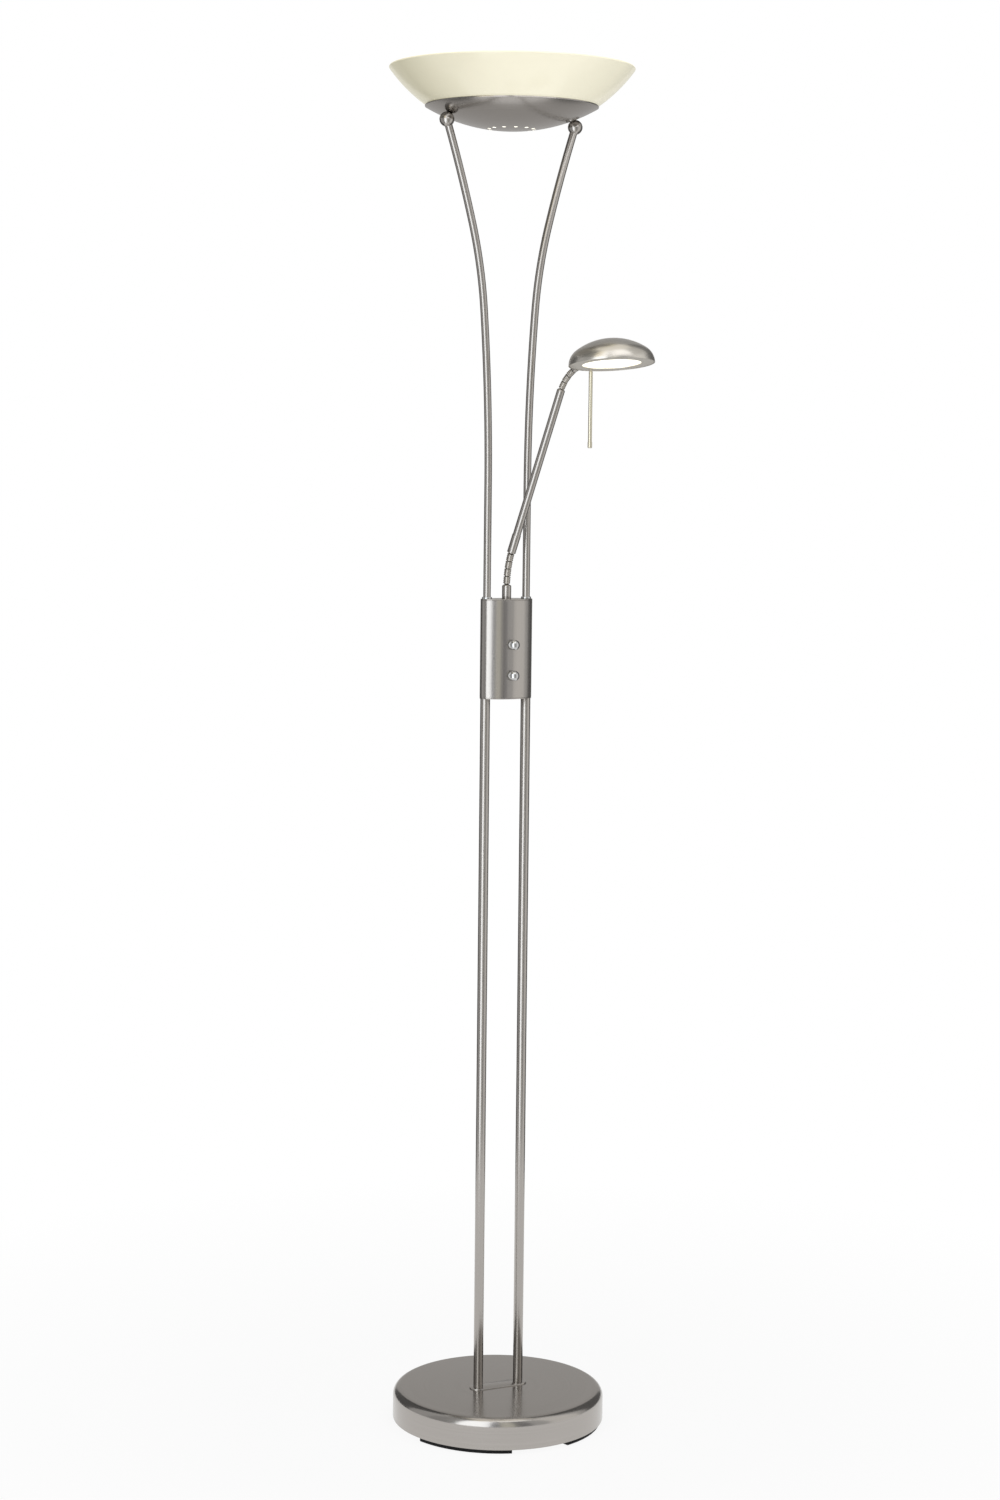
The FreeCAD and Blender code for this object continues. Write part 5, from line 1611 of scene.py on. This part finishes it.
@dataclass(frozen=True)
class Band:
    """A ring of upright cards round the lamp, edge to edge.

    Attributes:
        low: Height of their lower edges in metres.
        high: Height of their upper edges.
        cards: Each card's last edge, in degrees from the camera's direction towards its right, and
            how bright a mirror sees it.
        start: First edge of the first card.
    """

    low: float
    high: float
    cards: tuple[tuple[float, Colour], ...]
    start: float = -150


@dataclass(frozen=True)
class SoftBox:
    """A rectangular light that faces the lamp; sizes in metres, power in watts."""

    name: str
    place: Place
    width: float
    height: float
    power: float


@dataclass
class Studio:
    """Pale floor, backdrop, soft lights and the camera; places in metres."""

    camera_place: Place = (-1.6397, -3.4273, 1.3040)
    camera_view: Place = (0.4278, 0.8981, -0.1025)
    camera_roll: float = 0.0108
    lens: float = 69.20
    sensor: float = 36.0
    far: float = 60.0
    floor_size: float = 14.0
    floor_shadow: float = 0.10
    shadow_start: float = 0.35
    shadow_end: float = 1.3
    room_shade: float = 0.80
    room_strength: float = 0.55
    aim: Place = (0, 0, 1.1)
    boxes: tuple[SoftBox, ...] = (SoftBox("left_box", (-2.6, -1.6, 1.5), 0.5, 2.6, 20.0),
                                  SoftBox("right_box", (2.4, -2.2, 1.6), 0.9, 2.2, 8.0),
                                  SoftBox("top_box", (0.2, -0.6, 3.4), 2.0, 2.0, 24.0))
    card_distance: float = 1.1
    roof_height: float = 3.3
    roof_share: float = 1.1
    roof_shade: Colour = (1.05, 1.02, 0.95)
    bands: tuple[Band, ...] = (
        Band(0.0, 1.9, ((-105, (0.13, 0.13, 0.13)), (-75, (0.55, 0.55, 0.55)), (-42, (0.42, 0.42, 0.42)),
                        (-8, (2.2, 2.3, 2.4)), (3, (0.40, 0.41, 0.44)), (18, (0.85, 0.84, 0.76)),
                        (35, (0.32, 0.32, 0.33)), (55, (0.62, 0.62, 0.62)), (92, (0.95, 0.94, 0.92)),
                        (105, (0.6, 0.6, 0.6)), (150, (0.15, 0.15, 0.15)), (210, (0.50, 0.49, 0.48)))),
        Band(1.9, 3.3, ((-90, (0.25, 0.24, 0.22)), (-45, (0.20, 0.20, 0.19)), (-24, (1.25, 1.15, 0.92)),
                        (-5, (1.7, 1.7, 1.7)), (1, (0.4, 0.4, 0.4)), (58, (1.7, 1.7, 1.7)),
                        (115, (0.65, 0.64, 0.62)), (150, (0.2, 0.2, 0.2)), (210, (0.4, 0.4, 0.4)))))

    def build(self) -> None:
        """Set the camera, the lights and the background."""
        self.camera()
        self.floor()
        self.world()
        self.cards()
        self.lights()
        bpy.context.scene.view_settings.view_transform = "Standard"

    def stand(self, name: str, data: bpy.types.ID, place: Place, turn: Quaternion) -> bpy.types.Object:
        """Put a camera or a light at a place, turned.

        Args:
            name: The object's name.
            data: The camera or the light.
            place: Where it stands.
            turn: How it is turned.

        Returns:
            The object.
        """
        made = bpy.data.objects.new(name, data)
        made.rotation_mode = "QUATERNION"
        made.rotation_quaternion = turn
        made.location = place
        bpy.context.scene.collection.objects.link(made)
        return made

    def camera(self) -> None:
        """Camera at the photograph's place."""
        data = bpy.data.cameras.new("camera")
        data.sensor_width = self.sensor
        data.lens = self.lens
        data.clip_end = self.far
        turn = Vector(self.camera_view).to_track_quat("-Z", "Y") @ Quaternion((0, 0, 1), self.camera_roll)
        bpy.context.scene.camera = self.stand("camera", data, self.camera_place, turn)

    def lights(self) -> None:
        """Soft boxes round the lamp."""
        for box in self.boxes:
            data = bpy.data.lights.new(box.name, "AREA")
            data.shape = "RECTANGLE"
            data.size, data.size_y, data.energy = box.width, box.height, box.power
            turn = (Vector(self.aim) - Vector(box.place)).to_track_quat("-Z", "Y")
            self.stand(box.name, data, box.place, turn).visible_glossy = False

    def background(self, name: str, shadowed: float) -> bpy.types.Material:
        """White for the camera, mirrors and clear glass; near the lamp it keeps shadows by a share.

        Args:
            name: The material's name.
            shadowed: Share of the plain lit surface in what is seen.

        Returns:
            The material.
        """
        recipe = Recipe(name)
        recipe.set(Base_Color=(0.92, 0.92, 0.92), Roughness=0.9, Specular_IOR_Level=0.1)
        white = recipe.out("Emission", {"Color": (1, 1, 1, 1), "Strength": 1.0})
        away = recipe.add("VectorMath", {0: recipe.lamp_place()}, operation="LENGTH").outputs["Value"]
        kept = recipe.span(away, shadowed, 0.0, self.shadow_start, self.shadow_end)
        share = recipe.math("MULTIPLY", self.seen(recipe), recipe.mad(kept, -1.0, 1.0))
        mix = recipe.out("MixShader", {0: share, 1: recipe.shader.outputs[0], 2: white})
        recipe.tree.links.new(mix, recipe.output.inputs["Surface"])
        return recipe.material

    def seen(self, tree: Tree) -> bpy.types.NodeSocket:
        """1 where the camera, a mirror or clear glass looks, else 0.

        Args:
            tree: The tree that asks.

        Returns:
            The socket that holds the answer.
        """
        path = tree.add("LightPath").outputs
        either = tree.math("MAXIMUM", path["Is Camera Ray"], path["Is Glossy Ray"])
        return tree.math("MAXIMUM", either, path["Is Transmission Ray"])

    def panel(self, name: str, centre: Vector, across: Vector, up: Vector,
              material: bpy.types.Material) -> bpy.types.Object:
        """Flat panel given by its centre and two half sides, in metres.

        Args:
            name: The panel's name.
            centre: Its centre.
            across: Half of one side.
            up: Half of the other side.
            material: Its finish.

        Returns:
            The panel.
        """
        mesh = bpy.data.meshes.new(name)
        corners = [centre - across - up, centre + across - up, centre + across + up, centre - across + up]
        mesh.from_pydata(corners, [], [(0, 1, 2, 3)])
        mesh.materials.append(material)
        made = bpy.data.objects.new(name, mesh)
        bpy.context.scene.collection.objects.link(made)
        return made

    def floor(self) -> None:
        """Large pale floor."""
        half = self.floor_size / 2
        self.panel("floor", Vector((0, 0, 0)), Vector((half, 0, 0)), Vector((0, half, 0)),
                   self.background("studio_floor", self.floor_shadow))

    def world(self) -> None:
        """White to the camera and to mirrors, and a plain pale grey room to everything else."""
        world = bpy.data.worlds.new("studio")
        bpy.context.scene.world = world
        world.use_nodes = True
        world.node_tree.nodes.clear()
        tree = Tree(world.node_tree, "ShaderNode")
        room = tree.out("Background", {"Color": (*[self.room_shade] * 3, 1), "Strength": self.room_strength})
        white = tree.out("Background", {"Color": (1, 1, 1, 1), "Strength": 1.0})
        tree.add("OutputWorld", {0: tree.out("MixShader", {0: self.seen(tree), 1: room, 2: white})})

    def cards(self) -> None:
        """Upright and level cards that only mirrors see, as the light tents and flags of a studio."""
        facing, number = math.atan2(self.camera_place[1], self.camera_place[0]), 0
        for band in self.bands:
            middle = Vector((0, 0, (band.low + band.high) / 2))
            up = Vector((0, 0, (band.high - band.low) / 2))
            edge = polar(self.card_distance, facing + math.radians(band.start))
            for last, shade in band.cards:
                end = polar(self.card_distance, facing + math.radians(last))
                self.card("card_%d" % number, (edge + end) / 2 + middle, (end - edge) / 2, up, shade)
                edge = end
                number += 1
        half = self.card_distance * self.roof_share
        self.card("card_roof", Vector((0, 0, self.roof_height)), Vector((half, 0, 0)), Vector((0, half, 0)),
                  self.roof_shade)

    def card(self, name: str, middle: Vector, across: Vector, up: Vector, shade: Colour) -> None:
        """Add one card of a colour.

        Args:
            name: The card's name.
            middle: Its centre.
            across: Half of one side.
            up: Half of the other side.
            shade: How bright a mirror sees it.
        """
        recipe = Recipe(name)
        glow = recipe.out("Emission", {"Color": (*shade, 1.0), "Strength": 1.0})
        recipe.tree.links.new(glow, recipe.output.inputs["Surface"])
        made = self.panel(name, middle, across, up, recipe.material)
        made.visible_camera = made.visible_diffuse = made.visible_shadow = False
        made.visible_transmission = made.visible_volume_scatter = False


def main() -> None:
    """Build the lamp section by section, then the studio."""
    logging.basicConfig(level=logging.INFO, format="%(message)s")
    finishes = Finishes()
    makers: tuple[type[Section], ...] = (Base, Poles, DimmerBox, Arms, Uplight, ReadingArm, ReadingHead)
    for maker in makers:
        section = maker(finishes)
        section.build()
        LOG.info("%s: %d pieces", maker.__name__, len(section.pieces))
    Studio().build()


if __name__ == "__main__":
    main()
